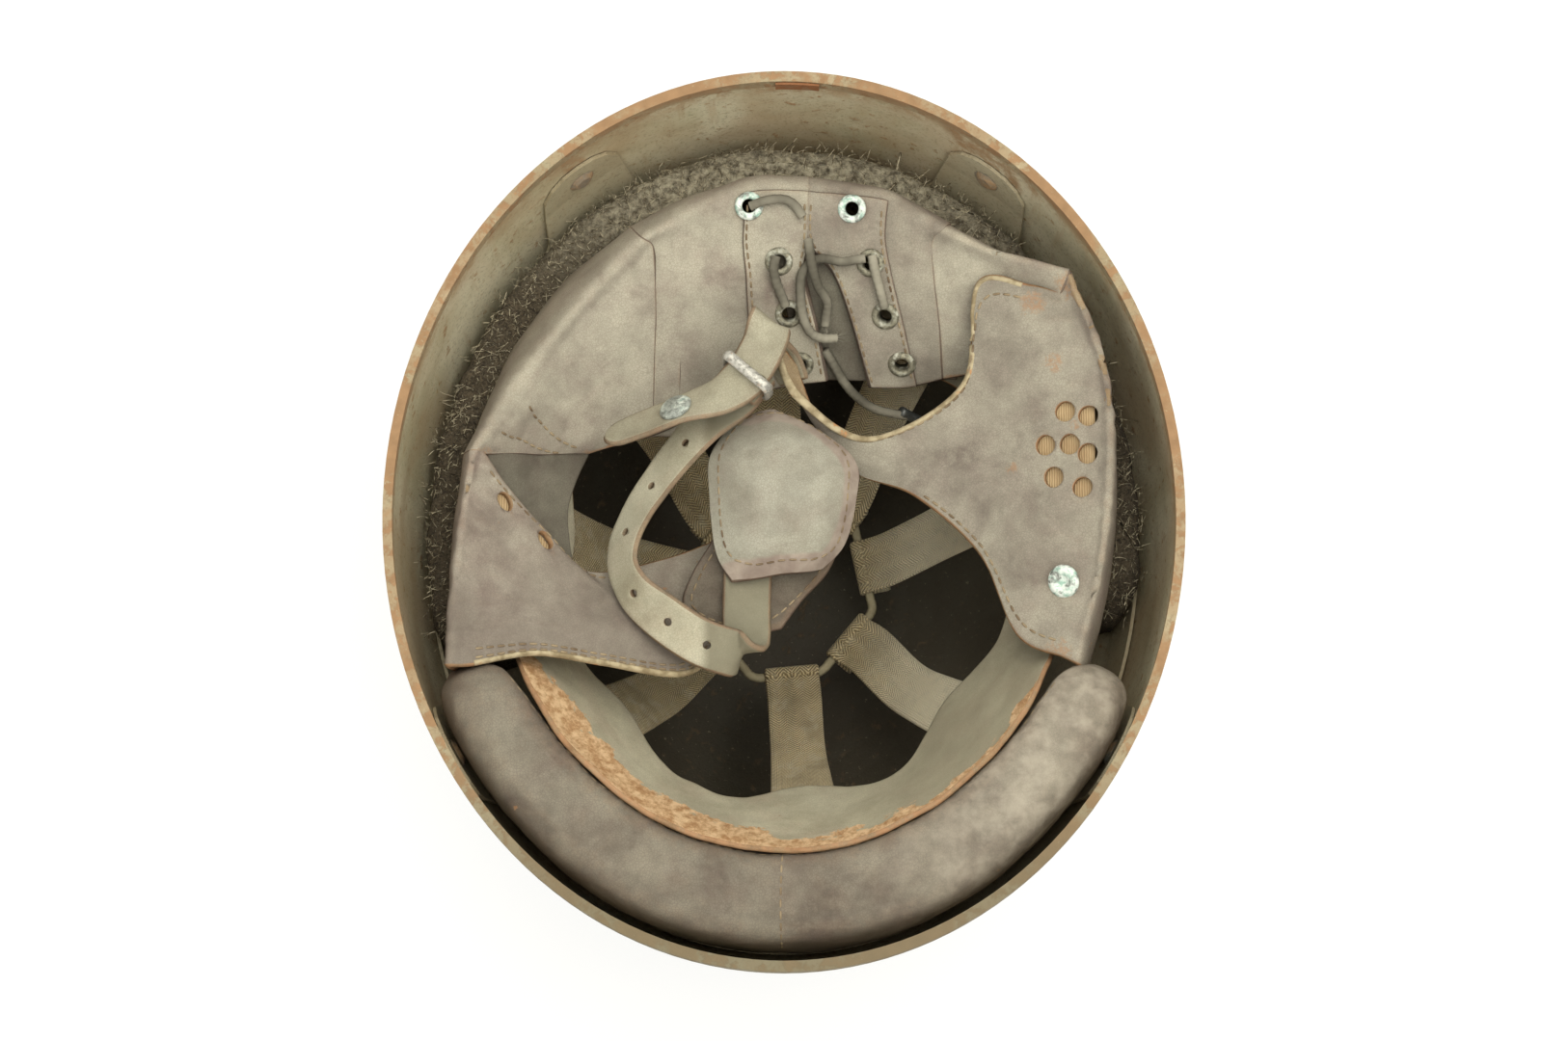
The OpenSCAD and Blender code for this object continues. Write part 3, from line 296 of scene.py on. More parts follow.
def frayed(name, end, heading, seed):
    """A tuft of broken fibres at a lace's end."""
    chance = random.Random(seed)
    points, faces = [], []
    for k in range(16):
        lean = Vector((chance.uniform(-1, 1), chance.uniform(-1, 1), chance.uniform(-0.4, 0.7)))
        reach = chance.uniform(0.002, 0.0038)
        for step in range(4):
            c = Vector(end) + (Vector(heading) + lean * 0.5 * step / 3) * reach * step / 3
            c += lean * LACE * 0.22
            thin = 0.00022 * (1 - 0.25 * step)
            points += [c + Vector((thin, 0, 0)), c + Vector((-thin / 2, thin, 0)),
                       c + Vector((-thin / 2, -thin / 2, thin))]
        base = k * 12
        for step in range(3):
            a = base + 3 * step
            faces += [(a + j, a + (j + 1) % 3, a + 3 + (j + 1) % 3, a + 3 + j) for j in range(3)]
    return piece(name, points, faces, [lace_finish])


def lathed(name, profile, at, direction, finishes, steps=40):
    """A turned piece: a profile of radius and height, its axis along a direction."""
    facing = Vector(direction).to_track_quat("Z", "Y").to_matrix()
    points = [Vector(at) + facing @ Vector((r * math.cos(a), r * math.sin(a), z))
              for r, z in profile for a in turns(steps)]
    faces = [(i * steps + k, i * steps + (k + 1) % steps,
              (i + 1) * steps + (k + 1) % steps, (i + 1) * steps + k)
             for i in range(len(profile) - 1) for k in range(steps)]
    if profile[0][0] != profile[-1][0] or profile[0][1] != profile[-1][1]:
        faces += [tuple(reversed(range(steps))),
                  tuple((len(profile) - 1) * steps + k for k in range(steps))]
    return piece(name, points, faces, finishes)


brass, tree = finish_of("tip_brass")
spots = noise_at(tree, place_of(tree), 1500)
coated(tree, toned(tree, spots, (0.05, 0.05, 0.05, 1), (0.3, 0.31, 0.3, 1)), spots, Metallic=0.7)
TIP = [(0.0001, 0.0012), (0.0014, 0.0006), (0.0016, 0), (0.00165, -0.007), (0.0018, -0.0072),
       (0.0017, -0.0085), (0.0001, -0.0086)]

for node_name, route, far, steps in (("lace_top_end", lace_top_route, "bare", 90),
                                     ("lace_short_end", lace_short_route, "bare", 150),
                                     ("lace_long_end", lace_long_route, "fitting", 130)):
    line = along(laid(route), steps)
    lace = swept(node_name + "_braid", cord_rings(line, LACE, LACE_STRANDS, LACE_PITCH),
                 [lace_finish])
    fit(lace, "cord", "neck_curtain", node_name)
    heading = unit(line[-1] - line[-3])
    if far == "bare":
        end = frayed(node_name + "_fray", line[-1] - heading * 0.0006, heading, steps)
        fit(end, "cord", "neck_curtain")
    else:
        end = lathed(node_name + "_tip", TIP, line[-1], heading, [brass], 20)
        fit(end, "corroded_metal", "neck_curtain")


# The shell: one sheet of steel pressed to a deep bowl, with matt olive paint that has rubbed
# and rusted, most of all next to the rim. Down in the crown it is painted dark, as shade.
def group(name, inputs, outputs):
    """A shader node group with named inputs and outputs."""
    tree = bpy.data.node_groups.new(name, "ShaderNodeTree")
    for label, kind, value in inputs:
        socket = tree.interface.new_socket(label, in_out="INPUT", socket_type="NodeSocket" + kind)
        if value is not None:
            socket.default_value = value
    for label, kind in outputs:
        tree.interface.new_socket(label, in_out="OUTPUT", socket_type="NodeSocket" + kind)
    return tree, tree.nodes.new("NodeGroupInput").outputs, tree.nodes.new("NodeGroupOutput").inputs


def spread(tree, value, low, high, to_low=0, to_high=1):
    """A value taken from one range to another, and held there."""
    return node(tree, "MapRange", {0: value, 1: low, 2: high, 3: to_low, 4: to_high},
                interpolation_type="SMOOTHSTEP").outputs[0]


def tinted(tree, share, a, b, blend="MIX"):
    """Colour b laid over colour a by a share."""
    return node(tree, "Mix", {0: share, 6: a, 7: b}, data_type="RGBA", blend_type=blend).outputs[2]


def axes(tree, mark=None):
    """The three parts of the shaded place, or of a mark that its piece carries."""
    where = mark and node(tree, "Attribute", attribute_name=mark).outputs["Vector"]
    return node(tree, "SeparateXYZ", {0: where or place_of(tree)}).outputs


def stretched(tree, where, by):
    """The place with each of its three parts taken times a number."""
    return node(tree, "VectorMath", {0: where, 1: by}, operation="MULTIPLY").outputs[0]


def shade(colour, share):
    """A darker tone of a colour."""
    return tuple(c * share for c in colour[:3]) + (1,)


def glaze(tree, share, tone):
    """Lay one more colour over a finished material by a share."""
    base = tree.nodes["Principled BSDF"].inputs["Base Color"]
    feed(tree, base, tinted(tree, share, base.links[0].from_socket, tone))


patches, ins, outs = group("Patches", [("Where", "Vector", None), ("Size", "Float", 30.0),
                                       ("Share", "Float", 0.5), ("Softness", "Float", 0.08)],
                           [("Mask", "Float")])
broad = noise_at(patches, ins["Where"], ins["Size"], 8, 0.62, 0.3)
level = node(patches, "MapRange", {0: ins["Share"], 1: 0, 2: 1, 3: 0.72, 4: 0.28}).outputs[0]
low = less(patches, level, ins["Softness"])
high = plus(patches, level, ins["Softness"])
patches.links.new(spread(patches, broad, low, high), outs["Mask"])

rubbing, ins, outs = group("Rubbed edges", [("Where", "Vector", None), ("Reach", "Float", 0.02),
                                            ("Broken", "Float", 120.0)], [("Mask", "Float")])
edge = node(rubbing, "NewGeometry").outputs["Pointiness"]
edge = node(rubbing, "MapRange", {0: edge, 1: 0.5, 2: plus(rubbing, 0.5, ins["Reach"]),
                                  3: 0, 4: 1}).outputs[0]
wear_and_painted_light = noise_at(rubbing, ins["Where"], ins["Broken"], 6, 0.7)
wear_and_painted_light = spread(rubbing, wear_and_painted_light, 0.35, 0.6)
rubbing.links.new(times(rubbing, edge, wear_and_painted_light), outs["Mask"])


def patch_mask(tree, where, size, share, softness=0.08):
    """Where clouded patches lie: their size is in waves a metre, their share from 0 to 1."""
    return node(tree, "Group", {"Where": where, "Size": size, "Share": share,
                                "Softness": softness}, node_tree=patches).outputs[0]


def rub_mask(tree, where, reach=0.03, broken=150.0):
    """Where the edges have rubbed."""
    return node(tree, "Group", {"Where": where, "Reach": reach, "Broken": broken},
                node_tree=rubbing).outputs[0]


def painted(name, paint, faded, rust, rust_share, rim_rust, stain=0.55, edges=1.0):
    """Matt paint over steel: faded in clouds, chipped to rust in specks and along the rim, and
    painted dark as shade deep in the crown.
    """
    made, tree = finish_of(name)
    where = place_of(tree)
    across, _, height = axes(tree)
    colour = tinted(tree, patch_mask(tree, where, 22, 0.5, 0.2), paint, faded)
    grit = times(tree, patch_mask(tree, where, 900, 0.32, 0.05), 0.45)
    colour = tinted(tree, grit, colour, shade(paint, 0.45))
    runs = noise_at(tree, stretched(tree, where, (240, 240, 16)), 1, 5, 0.6)
    runs = times(tree, spread(tree, runs, 0.5, 0.72), 0.8)
    stains = most(tree, patch_mask(tree, where, 17, 0.44, 0.14), runs)
    colour = tinted(tree, times(tree, stains, stain), colour, shade(rust, 0.85))
    # Painted shade: deep in the crown the paint goes near black, a little lighter on the +x side,
    # where the light falls.
    deep = spread(tree, height, 0.1, 0.02)
    dark = tinted(tree, spread(tree, across, 0.0, 0.07), (0.032, 0.027, 0.02, 1),
                  (0.085, 0.074, 0.055, 1))
    colour = tinted(tree, times(tree, deep, 0.93), colour, dark)
    near_rim = spread(tree, height, 0.152, 0.166)
    share = plus(tree, rust_share, times(tree, near_rim, rim_rust))
    wide = times(tree, patch_mask(tree, where, 28, share, 0.05), near_rim)
    rusted = most(tree, patch_mask(tree, where, 230, share, 0.07), wide)
    rusted = most(tree, rusted, times(tree, rub_mask(tree, where), edges))
    rusty = tinted(tree, noise_at(tree, where, 260, 4), rust, shade(rust, 0.55))
    colour = tinted(tree, times(tree, rusted, spread(tree, deep, 0, 1, 1, 0.25)), colour, rusty)
    flecks = times(tree, patch_mask(tree, where, 700, 0.14, 0.02), 0.4)
    colour = tinted(tree, flecks, colour, (0.42, 0.36, 0.24, 1))
    relief = plus(tree, noise_at(tree, where, 1200), times(tree, rusted, 0.8))
    relief = plus(tree, relief, times(tree, noise_at(tree, where, 45, 2), 3.0))
    coated(tree, colour, spread(tree, rusted, 0, 1, 0.55, 0.85), relief, 0.00025)
    return made


def refinish(node_name, finish):
    """Give a carried-over steel or brass piece its finish."""
    solid = frame["nodes"][node_name]
    solid.data.materials.clear()
    solid.data.materials.append(finish)


OLIVE = (0.42, 0.375, 0.245, 1)
OLIVE_FADED = (0.62, 0.565, 0.42, 1)
RUST = (0.42, 0.27, 0.15, 1)
shell_paint = painted("shell_paint", OLIVE, OLIVE_FADED, RUST, 0.17, 0.42)
refinish("shell", shell_paint)

# The rim strip: a thin steel strip folded over the rim and closed by a clip at the back. Its
# paint has mostly gone, and it has rusted to a warm brown.
strip_paint = painted("strip_paint", (0.27, 0.235, 0.15, 1), (0.38, 0.33, 0.22, 1),
                      (0.36, 0.215, 0.115, 1), 0.2, 0.28, 0.5, 0.4)
tree = strip_paint.node_tree
glaze(tree, spread(tree, axes(tree)[1], -0.055, -0.115, 0.0, 0.72), (0.12, 0.108, 0.07, 1))
refinish("rim_strip", strip_paint)
refinish("rim_clip", painted("clip_paint", (0.2, 0.16, 0.1, 1), (0.3, 0.24, 0.16, 1),
                             (0.3, 0.13, 0.06, 1), 0.5, 0.2))

# The liner band: a steel band that stands off the shell, with four long tabs that rise from it
# and are riveted to the wall. It is painted as the shell is, and rusts where the tabs end.
refinish("liner_band", painted("band_paint", (0.34, 0.3, 0.2, 1), (0.45, 0.405, 0.29, 1), RUST,
                               0.05, 0.04, 0.25, 0.1))
refinish("liner_rivets", painted("rivet_paint", (0.13, 0.14, 0.135, 1), (0.2, 0.205, 0.18, 1),
                                 RUST, 0.1, 0.0))


# The felt ring: a thick strip of coarse dark felt, packed between the liner band and the
# leather as a buffer. Its upper edge is matted and shaggy.
HALF_WIDTH, HALF_LENGTH, DEPTH = 0.1225, 0.140, 0.165
SHELL_OUT, SHELL, RIM_WALL, CROWN_LEVEL = 0.00085, 0.0012, 0.008, 0.026
BAND_GAP, BAND, FELT_GAP = 0.0014, 0.001, 0.0004


def placed(points):
    """Places in percent of the half width, the half length and the depth below the rim."""
    points = np.asarray(points, float) / 100
    return np.stack([points[..., 0] * HALF_WIDTH, points[..., 1] * HALF_LENGTH,
                     DEPTH * (1 - points[..., 2])], axis=-1)


def polar(r, angle, depth):
    """A place from its distance and direction, at a depth."""
    return [r * math.cos(math.radians(angle)), r * math.sin(math.radians(angle)), depth]


def waves(points, span, seed, octaves=2):
    """Smooth random height at each point, about -1 to 1, with waves of one span."""
    flat = points.reshape(-1, 3) / span
    shift = Vector((seed * 3.7, seed * 1.3, seed * 2.1))
    heights = np.zeros(len(flat))
    for k in range(octaves):
        heights += [noise.noise(Vector(p) * 2 ** k + shift) / 1.6 ** k for p in flat]
    return heights.reshape(points.shape[:-1])


def wall_radius(depth, inset):
    """Radius of the shell's wall at a depth, before it is stretched to the oval."""
    t = max(depth - RIM_WALL, 0) / (DEPTH - max(inset - SHELL_OUT, 0) - RIM_WALL)
    return CROWN_LEVEL + (HALF_WIDTH - inset - CROWN_LEVEL) * math.sqrt(max(1 - t * t, 0))


felt_finish, tree = finish_of("matted_felt")
where = place_of(tree)
hairs = noise_at(tree, where, 700, 6, 0.75, 1.5)
clumps = noise_at(tree, where, 90, 4, 0.6, 0.5)
# Painted light: the felt on the far (+y) side is lightened in broken patches, as lit.
painted_light_rear = times(tree, spread(tree, axes(tree)[1], 0.075, 0.12),
             spread(tree, noise_at(tree, where, 420, 6, 0.7), 0.3, 0.75))
colour = tinted(tree, spread(tree, hairs, 0.35, 0.68), (0.018, 0.013, 0.008, 1),
                (0.16, 0.125, 0.082, 1))
for share, strength, tone in (
        (spread(tree, clumps, 0.4, 0.75), 0.5, (0.08, 0.063, 0.042, 1)),
        (patch_mask(tree, where, 1400, 0.2, 0.03), 0.6, (0.42, 0.38, 0.29, 1)),
        (painted_light_rear, 0.9, (0.66, 0.6, 0.45, 1))):
    colour = tinted(tree, times(tree, share, strength), colour, tone)
coated(tree, colour, 1.0, plus(tree, hairs, times(tree, clumps, 1.5)), 0.0012, 1.0,
       Sheen_Weight=0.05, Sheen_Roughness=0.6)

felt_outer = SHELL_OUT + SHELL + BAND_GAP + BAND + FELT_GAP + 0.0006
felt_section = ((0.0455, 0.0145), (0.056, 0.0165), (0.074, 0.0155), (0.090, 0.0155), (0.090, 0),
                (0.074, 0), (0.056, 0), (0.0472, 0.002), (0.0442, 0.0055), (0.0442, 0.0105))
FELT_START, FELT_END = -12, 198.5
rings = []
for angle in np.linspace(FELT_START, FELT_END, 256):
    a = math.radians(angle)
    wear_and_painted_light = max(0, 1 - min(angle - FELT_START, FELT_END - angle) / 9) ** 2
    ring = []
    for depth, thick in felt_section:
        depth = depth + wear_and_painted_light * 0.012 * (depth < 0.06)
        r = wall_radius(depth, felt_outer) - thick - wear_and_painted_light * 0.003 * (thick < 0.006)
        ring.append((r * math.cos(a), r * math.sin(a) * HALF_LENGTH / HALF_WIDTH, DEPTH - depth))
    rings.append(ring)
rings = np.array(rings)
fine = np.einsum("cr,srx->scx", weights(10, np.linspace(0, 1, 45)[:-1], True), rings)
lumps = waves(fine, 0.011, 3, 3)
inward = -unit(fine * (1, 1, 0))
fine = fine + inward * (lumps * 0.0009)[..., None]
fine[..., 2] += 0.0007 * waves(fine, 0.006, 9) * (fine[..., 2] > 0.115)
felt = swept("felt_buffer", fine[:, ::-1], [felt_finish])
fit(felt, "felt", "helmet", "buffer_ring")
chance = random.Random(7)
points, faces = [], []
for k in range(2300):
    at = fine[chance.randrange(2, len(fine) - 2), chance.choice([30, 31, 32, 33, *range(31, 44)])]
    at = at + np.array([chance.uniform(-1, 1) for _ in range(3)]) * (0.0016, 0.0016, 0.0004)
    heading, bend = [Vector((chance.uniform(-1, 1), chance.uniform(-1, 1), chance.uniform(*rise)))
                     for rise in ((0.1, 0.75), (-1, 0.2))]
    heading, bend = heading.normalized(), bend * 0.6
    reach, thin = chance.uniform(0.0014, 0.0046), chance.uniform(0.00008, 0.00017)
    if k % 300 == 7:
        # A few straws lie level among the hairs
        heading, bend = Vector((heading.x, heading.y, 0.15)), bend * 0.05
        reach, thin = 0.01, 0.00045
    base = len(points)
    for step in range(4):
        c = Vector(at) + (heading + bend * step / 3) * reach * step / 3
        points += [c + Vector(corner) for corner in
                   ((thin, 0, 0), (-thin / 2, thin, 0), (0, -thin / 2, thin))]
    for step in range(3):
        a = base + 3 * step
        faces += [(a + j, a + (j + 1) % 3, a + 3 + (j + 1) % 3, a + 3 + j) for j in range(3)]
hair_finish, tree = finish_of("felt_hair")
coated(tree, tinted(tree, patch_mask(tree, place_of(tree), 500, 0.5, 0.1), (0.09, 0.07, 0.045, 1),
                    (0.62, 0.55, 0.4, 1)), 0.9)
fit(piece("felt_hairs", points, faces, [hair_finish]), "felt", "helmet")


# The leather: sheepskin-thin brown hide, now grey with dust, dried out, creased where it folds
# and cracked to the orange inside where it has rubbed.
grain, ins, outs = group("Leather grain", [("Where", "Vector", None), ("Size", "Float", 1100.0),
                                           ("Creasing", "Float", 1.0)],
                         [("Height", "Float"), ("Pores", "Float"), ("Cracks", "Float"),
                          ("Hatch", "Float")])


def cell_edges(tree, where, size):
    """Distance to the edge of the nearest of many cells."""
    return node(tree, "TexVoronoi", {"Vector": where, "Scale": size},
                feature="DISTANCE_TO_EDGE").outputs[0]


pores = spread(grain, cell_edges(grain, ins["Where"], ins["Size"]), 0.02, 0.22)
bent = node(grain, "TexNoise", {"Vector": ins["Where"], "Scale": 70.0, "Detail": 3.0})
bent = bent.outputs["Color"]
shifted = node(grain, "VectorMath", {0: bent, 1: bent, 2: ins["Where"]},
               operation="MULTIPLY_ADD").outputs[0]
wrinkles = spread(grain, cell_edges(grain, shifted, 150.0), 0.0, 0.16)
cracked = cell_edges(grain, stretched(grain, shifted, (1, 2, 1.4)), 300.0)
cracked = times(grain, spread(grain, cracked, 0.1, 0.0),
                spread(grain, noise_at(grain, ins["Where"], 95, 4, 0.6), 0.44, 0.6))
hatch = most(grain, *[
    spread(grain, noise_at(grain, stretched(grain, shifted, reach), 1, 3, 0.6), 0.4, 0.66)
    for reach in ((800, 95, 300), (95, 800, 300))])
height = plus(grain, times(grain, pores, 0.18), times(grain, wrinkles, ins["Creasing"]))
height = less(grain, height, times(grain, cracked, 0.45))
height = plus(grain, height, times(grain, hatch, 0.35))
for label, value in (("Height", height), ("Pores", times(grain, pores, wrinkles)),
                     ("Cracks", cracked), ("Hatch", hatch)):
    feed(grain, outs[label], value)


def leather(name, hide, dusty, dark, dust, rub, creasing=1.0, gloss=0.6, cracks=()):
    """Old leather: mottled hide, pale dust on what faces up, dark pores and orange rubbed places;
    cracks lists places in millimetres, each with a reach, where the surface has split."""
    made, tree = finish_of(name)
    where = place_of(tree)
    skin = node(tree, "Group", {"Where": where, "Size": 1100.0, "Creasing": creasing},
                node_tree=grain).outputs
    colour = tinted(tree, patch_mask(tree, where, 40, 0.5, 0.2), hide, dark)
    streaks = noise_at(tree, stretched(tree, where, (220, 60, 120)), 1, 6, 0.65)
    colour = tinted(tree, times(tree, spread(tree, streaks, 0.5, 0.75), 0.35), colour, dark)
    colour = tinted(tree, times(tree, patch_mask(tree, where, 75, 0.42, 0.1), 0.5), colour,
                    (dark[0] * 1.25, dark[1] * 1.15, dark[2] * 1.2, 1))
    up = node(tree, "SeparateXYZ", {0: node(tree, "NewGeometry").outputs["Normal"]}).outputs[2]
    scuffs = times(tree, patch_mask(tree, where, 260, 0.42, 0.14), dust * 0.8)
    powder = times(tree, most(tree, patch_mask(tree, where, 55, dust, 0.24), scuffs),
                   spread(tree, up, 0.2, 1.0, 0.35, 1.0))
    powder = times(tree, powder, spread(tree, skin["Hatch"], 0.0, 1.0, 0.55, 1.0))
    colour = tinted(tree, times(tree, powder, 0.85), colour, dusty)
    pits = most(tree, spread(tree, skin["Pores"], 0.35, 0.0, 0.0, 0.26),
                times(tree, skin["Cracks"], 0.55))
    colour = tinted(tree, pits, colour, shade(dark, 0.4))
    torn = most(tree, times(tree, rub_mask(tree, where, 0.05, 260), rub),
                patch_mask(tree, where, 95, 0.1 * rub, 0.015))
    near_edge = plus(tree, axes(tree, "lay")[2],
                     times(tree, noise_at(tree, where, 130, 5, 0.65), 0.7))
    torn = most(tree, torn, times(tree, spread(tree, near_edge, 0.95, 1.15),
                                  0.8 if rub > 0.1 else 0.15))
    for x, y, reach in cracks:
        away = node(tree, "VectorMath", {0: stretched(tree, where, (1, 1, 0)),
                                         1: (x / 1000, y / 1000, 0)}, operation="DISTANCE")
        away = plus(tree, times(tree, away.outputs["Value"], 500 / reach),
                    noise_at(tree, where, 330, 6, 0.75, 0.8))
        flaked = times(tree, spread(tree, away, 0.9, 0.7),
                       spread(tree, noise_at(tree, where, 650, 5, 0.8), 0.42, 0.56, 0, 0.62))
        torn = most(tree, torn, flaked)
    torn_tone = tinted(tree, noise_at(tree, where, 240, 4, 0.7), (0.36, 0.15, 0.065, 1),
                       (0.48, 0.31, 0.18, 1))
    coated(tree, tinted(tree, torn, colour, torn_tone), spread(tree, powder, 0, 1, gloss, 0.9),
           skin["Height"], 0.00035, 0.55)
    return made


RIGHT_CRACKS = ((77.9, 69.8, 6), (88.5, 75, 6), (83.9, 50.5, 4.5), (70.7, 18.4, 2.5),
                (84, -41, 7), (90, 30, 2.5))
grey_hide = leather("grey_hide", (0.37, 0.325, 0.265, 1), (0.64, 0.6, 0.48, 1),
                    (0.23, 0.185, 0.155, 1), 0.66, 0.15,
                    cracks=((-92.5, 20, 5), (-61.5, 26, 3.5)) + RIGHT_CRACKS)
dark_hide = leather("dark_hide", (0.33, 0.27, 0.225, 1), (0.62, 0.57, 0.465, 1),
                    (0.21, 0.16, 0.135, 1), 0.57, 0.15)
tree = dark_hide.node_tree
glaze(tree, spread(tree, axes(tree)[1], 0.008, -0.036, 0.0, 0.55), (0.16, 0.13, 0.11, 1))
# Painted shade: a darker copy of the grey hide, for the right flap, the right panel and its facing.
right_hide_painted_shade = leather("right_hide_painted_shade", (0.3, 0.257, 0.21, 1), (0.53, 0.49, 0.395, 1),
                     (0.19, 0.153, 0.13, 1), 0.6, 0.15, cracks=RIGHT_CRACKS)
raw_edge = leather("raw_edge", (0.36, 0.24, 0.13, 1), (0.5, 0.42, 0.3, 1), (0.24, 0.13, 0.06, 1),
                   0.4, 0.8, 0.2, 0.8)
dark_edge = leather("dark_edge", (0.2, 0.155, 0.13, 1), (0.36, 0.31, 0.25, 1),
                    (0.11, 0.085, 0.07, 1), 0.4, 0.1, 0.3, 0.8)
flesh_side = leather("flesh_side", (0.4, 0.3, 0.18, 1), (0.5, 0.42, 0.3, 1), (0.27, 0.19, 0.11, 1),
                     0.4, 0.2, 0.3, 0.9)


def steps_of(count, ring=False):
    """Even steps from 0 to 1; a ring leaves out the last, which is its first."""
    return np.linspace(0, 1, count + 1)[:count if ring else None]


def ribbed(ribs, across, down, ring=False):
    """Points of a smooth sheet over a row of ribs: first across the ribs, then along them."""
    stops = steps_of(down)
    lines = np.array([weights(len(rib), stops) @ np.array(rib) for rib in ribs])
    return np.einsum("ur,rvx->uvx", weights(len(ribs), steps_of(across, ring), ring), lines)


def facing(grid, ring=False):
    """The direction that a sheet faces at each of its points."""
    across = np.roll(grid, -1, 0) - np.roll(grid, 1, 0) if ring else np.gradient(grid, axis=0)
    return unit(np.cross(across, np.gradient(grid, axis=1)))


def cut_sheet(name, grid, thickness, finishes, ring=False, flip=False):
    """A sheet of one thickness with rounded edges; its cut edges take the second finish and its
    underside the third."""
    out = facing(grid, ring) * (-1 if flip else 1)
    rows, columns = grid.shape[:2]
    top, low = grid + out * thickness / 2, grid - out * thickness / 2
    points = list(top.reshape(-1, 3)) + list(low.reshape(-1, 3))
    size = rows * columns

    def at(i, j, under=0):
        """Number of a point on the upper or the under side."""
        return under * size + (i % rows) * columns + j

    faces, slots = [], []
    for i in range(rows if ring else rows - 1):
        for j in range(columns - 1):
            quad = [(i, j), (i + 1, j), (i + 1, j + 1), (i, j + 1)]
            if flip:
                quad.reverse()
            faces.append([at(*q) for q in quad])
            faces.append([at(*q, 1) for q in reversed(quad)])
            slots += [0, 2 % len(finishes)]
    border = [(i, 0) for i in range(rows)] + ([] if ring else
              [(rows - 1, j) for j in range(1, columns)] +
              [(i, columns - 1) for i in range(rows - 2, -1, -1)] +
              [(0, j) for j in range(columns - 2, 0, -1)])
    loops = [border] if not ring else [border, [(i, columns - 1) for i in reversed(range(rows))]]
    middle = grid.mean(axis=(0, 1))
    for loop in loops:
        line = np.array([grid[i, j] for i, j in loop])
        heading = unit(np.roll(line, -1, 0) - np.roll(line, 1, 0) + 1e-12)
        normal = np.array([out[i, j] for i, j in loop])
        away = unit(np.cross(heading, normal)) * (-1 if flip else 1)
        base = len(points)
        points += list(line + away * thickness * 0.42)
        n = len(loop)
        for k in range(n):
            (i, j), (p, q) = loop[k], loop[(k + 1) % n]
            a, b = base + k, base + (k + 1) % n
            upper, lower = [at(p, q), at(i, j), a, b], [a, at(i, j, 1), at(p, q, 1), b]
            if flip:
                upper.reverse()
                lower.reverse()
            faces += [upper, lower]
            slots += [1 % len(finishes)] * 2
    return piece(name, np.array(points), faces, finishes, slots=slots)


def edge_marks(part, grid, reach=0.003, sides=True):
    """Note on each point of a sheet how far along and across it lies, and how near its edge."""
    rows, columns = grid.shape[:2]
    edge = [grid[i, columns - 1] for i in range(rows)]
    if sides:
        edge += [grid[i, j] for i in (0, rows - 1) for j in range(columns)]
    finder = KDTree(rows * columns)
    rim = KDTree(len(edge))
    for k, place in enumerate(grid.reshape(-1, 3)):
        finder.insert(place, k)
    for k, place in enumerate(edge):
        rim.insert(place, k)
    finder.balance()
    rim.balance()
    down, over = run_of(grid[:, columns // 2]), run_of(grid[rows // 2])
    lay = part.data.attributes.new("lay", "FLOAT_VECTOR", "POINT")
    for vertex, mark in zip(part.data.vertices, lay.data):
        i, j = divmod(finder.find(vertex.co)[1], columns)
        mark.vector = down[i], over[j], math.exp(-rim.find(vertex.co)[2] / reach)


def weathered(grid, seed, sag=0.0006, ripple=0.0, fold=0.4, calm=(), ring=False, flip=False):
    """Leather that has dried out of shape: slow waves, and ripples across the fold."""
    height = sag * waves(grid, 0.032, seed) + 0.4 * sag * waves(grid, 0.012, seed + 1)
    if ripple:
        across = run_of(grid[:, int(fold * (grid.shape[1] - 1))])[:, None]
        down = np.linspace(0, 1, grid.shape[1])[None, :]
        flat = np.stack([across + 0 * down, 0.012 * down + 0 * across, 0 * (across + down)], -1)
        near = np.exp(-((down - fold) / 0.13) ** 2)
        height = height + ripple * near * waves(flat, 0.0055, seed + 2)
    for x, y, z in calm:
        height = height * (1 - np.exp(-(np.linalg.norm(grid - (x, y, z), axis=-1) / 0.011) ** 2))
    return grid + facing(grid, ring) * (-1 if flip else 1) * height[..., None]


def spot_on(grid, u, v, flip=False):
    """Place on a sheet, and the direction that it faces there."""
    i, j = u * (grid.shape[0] - 1), v * (grid.shape[1] - 1)
    i0, j0 = min(int(i), grid.shape[0] - 2), min(int(j), grid.shape[1] - 2)
    a, b = i - i0, j - j0
    corners = grid[i0:i0 + 2, j0:j0 + 2]
    out = np.cross(corners[1, 0] - corners[0, 0], corners[0, 1] - corners[0, 0])
    share = np.array([[(1 - a) * (1 - b), (1 - a) * b], [a * (1 - b), a * b]])
    return (corners * share[..., None]).sum(axis=(0, 1)), unit(out) * (-1 if flip else 1)


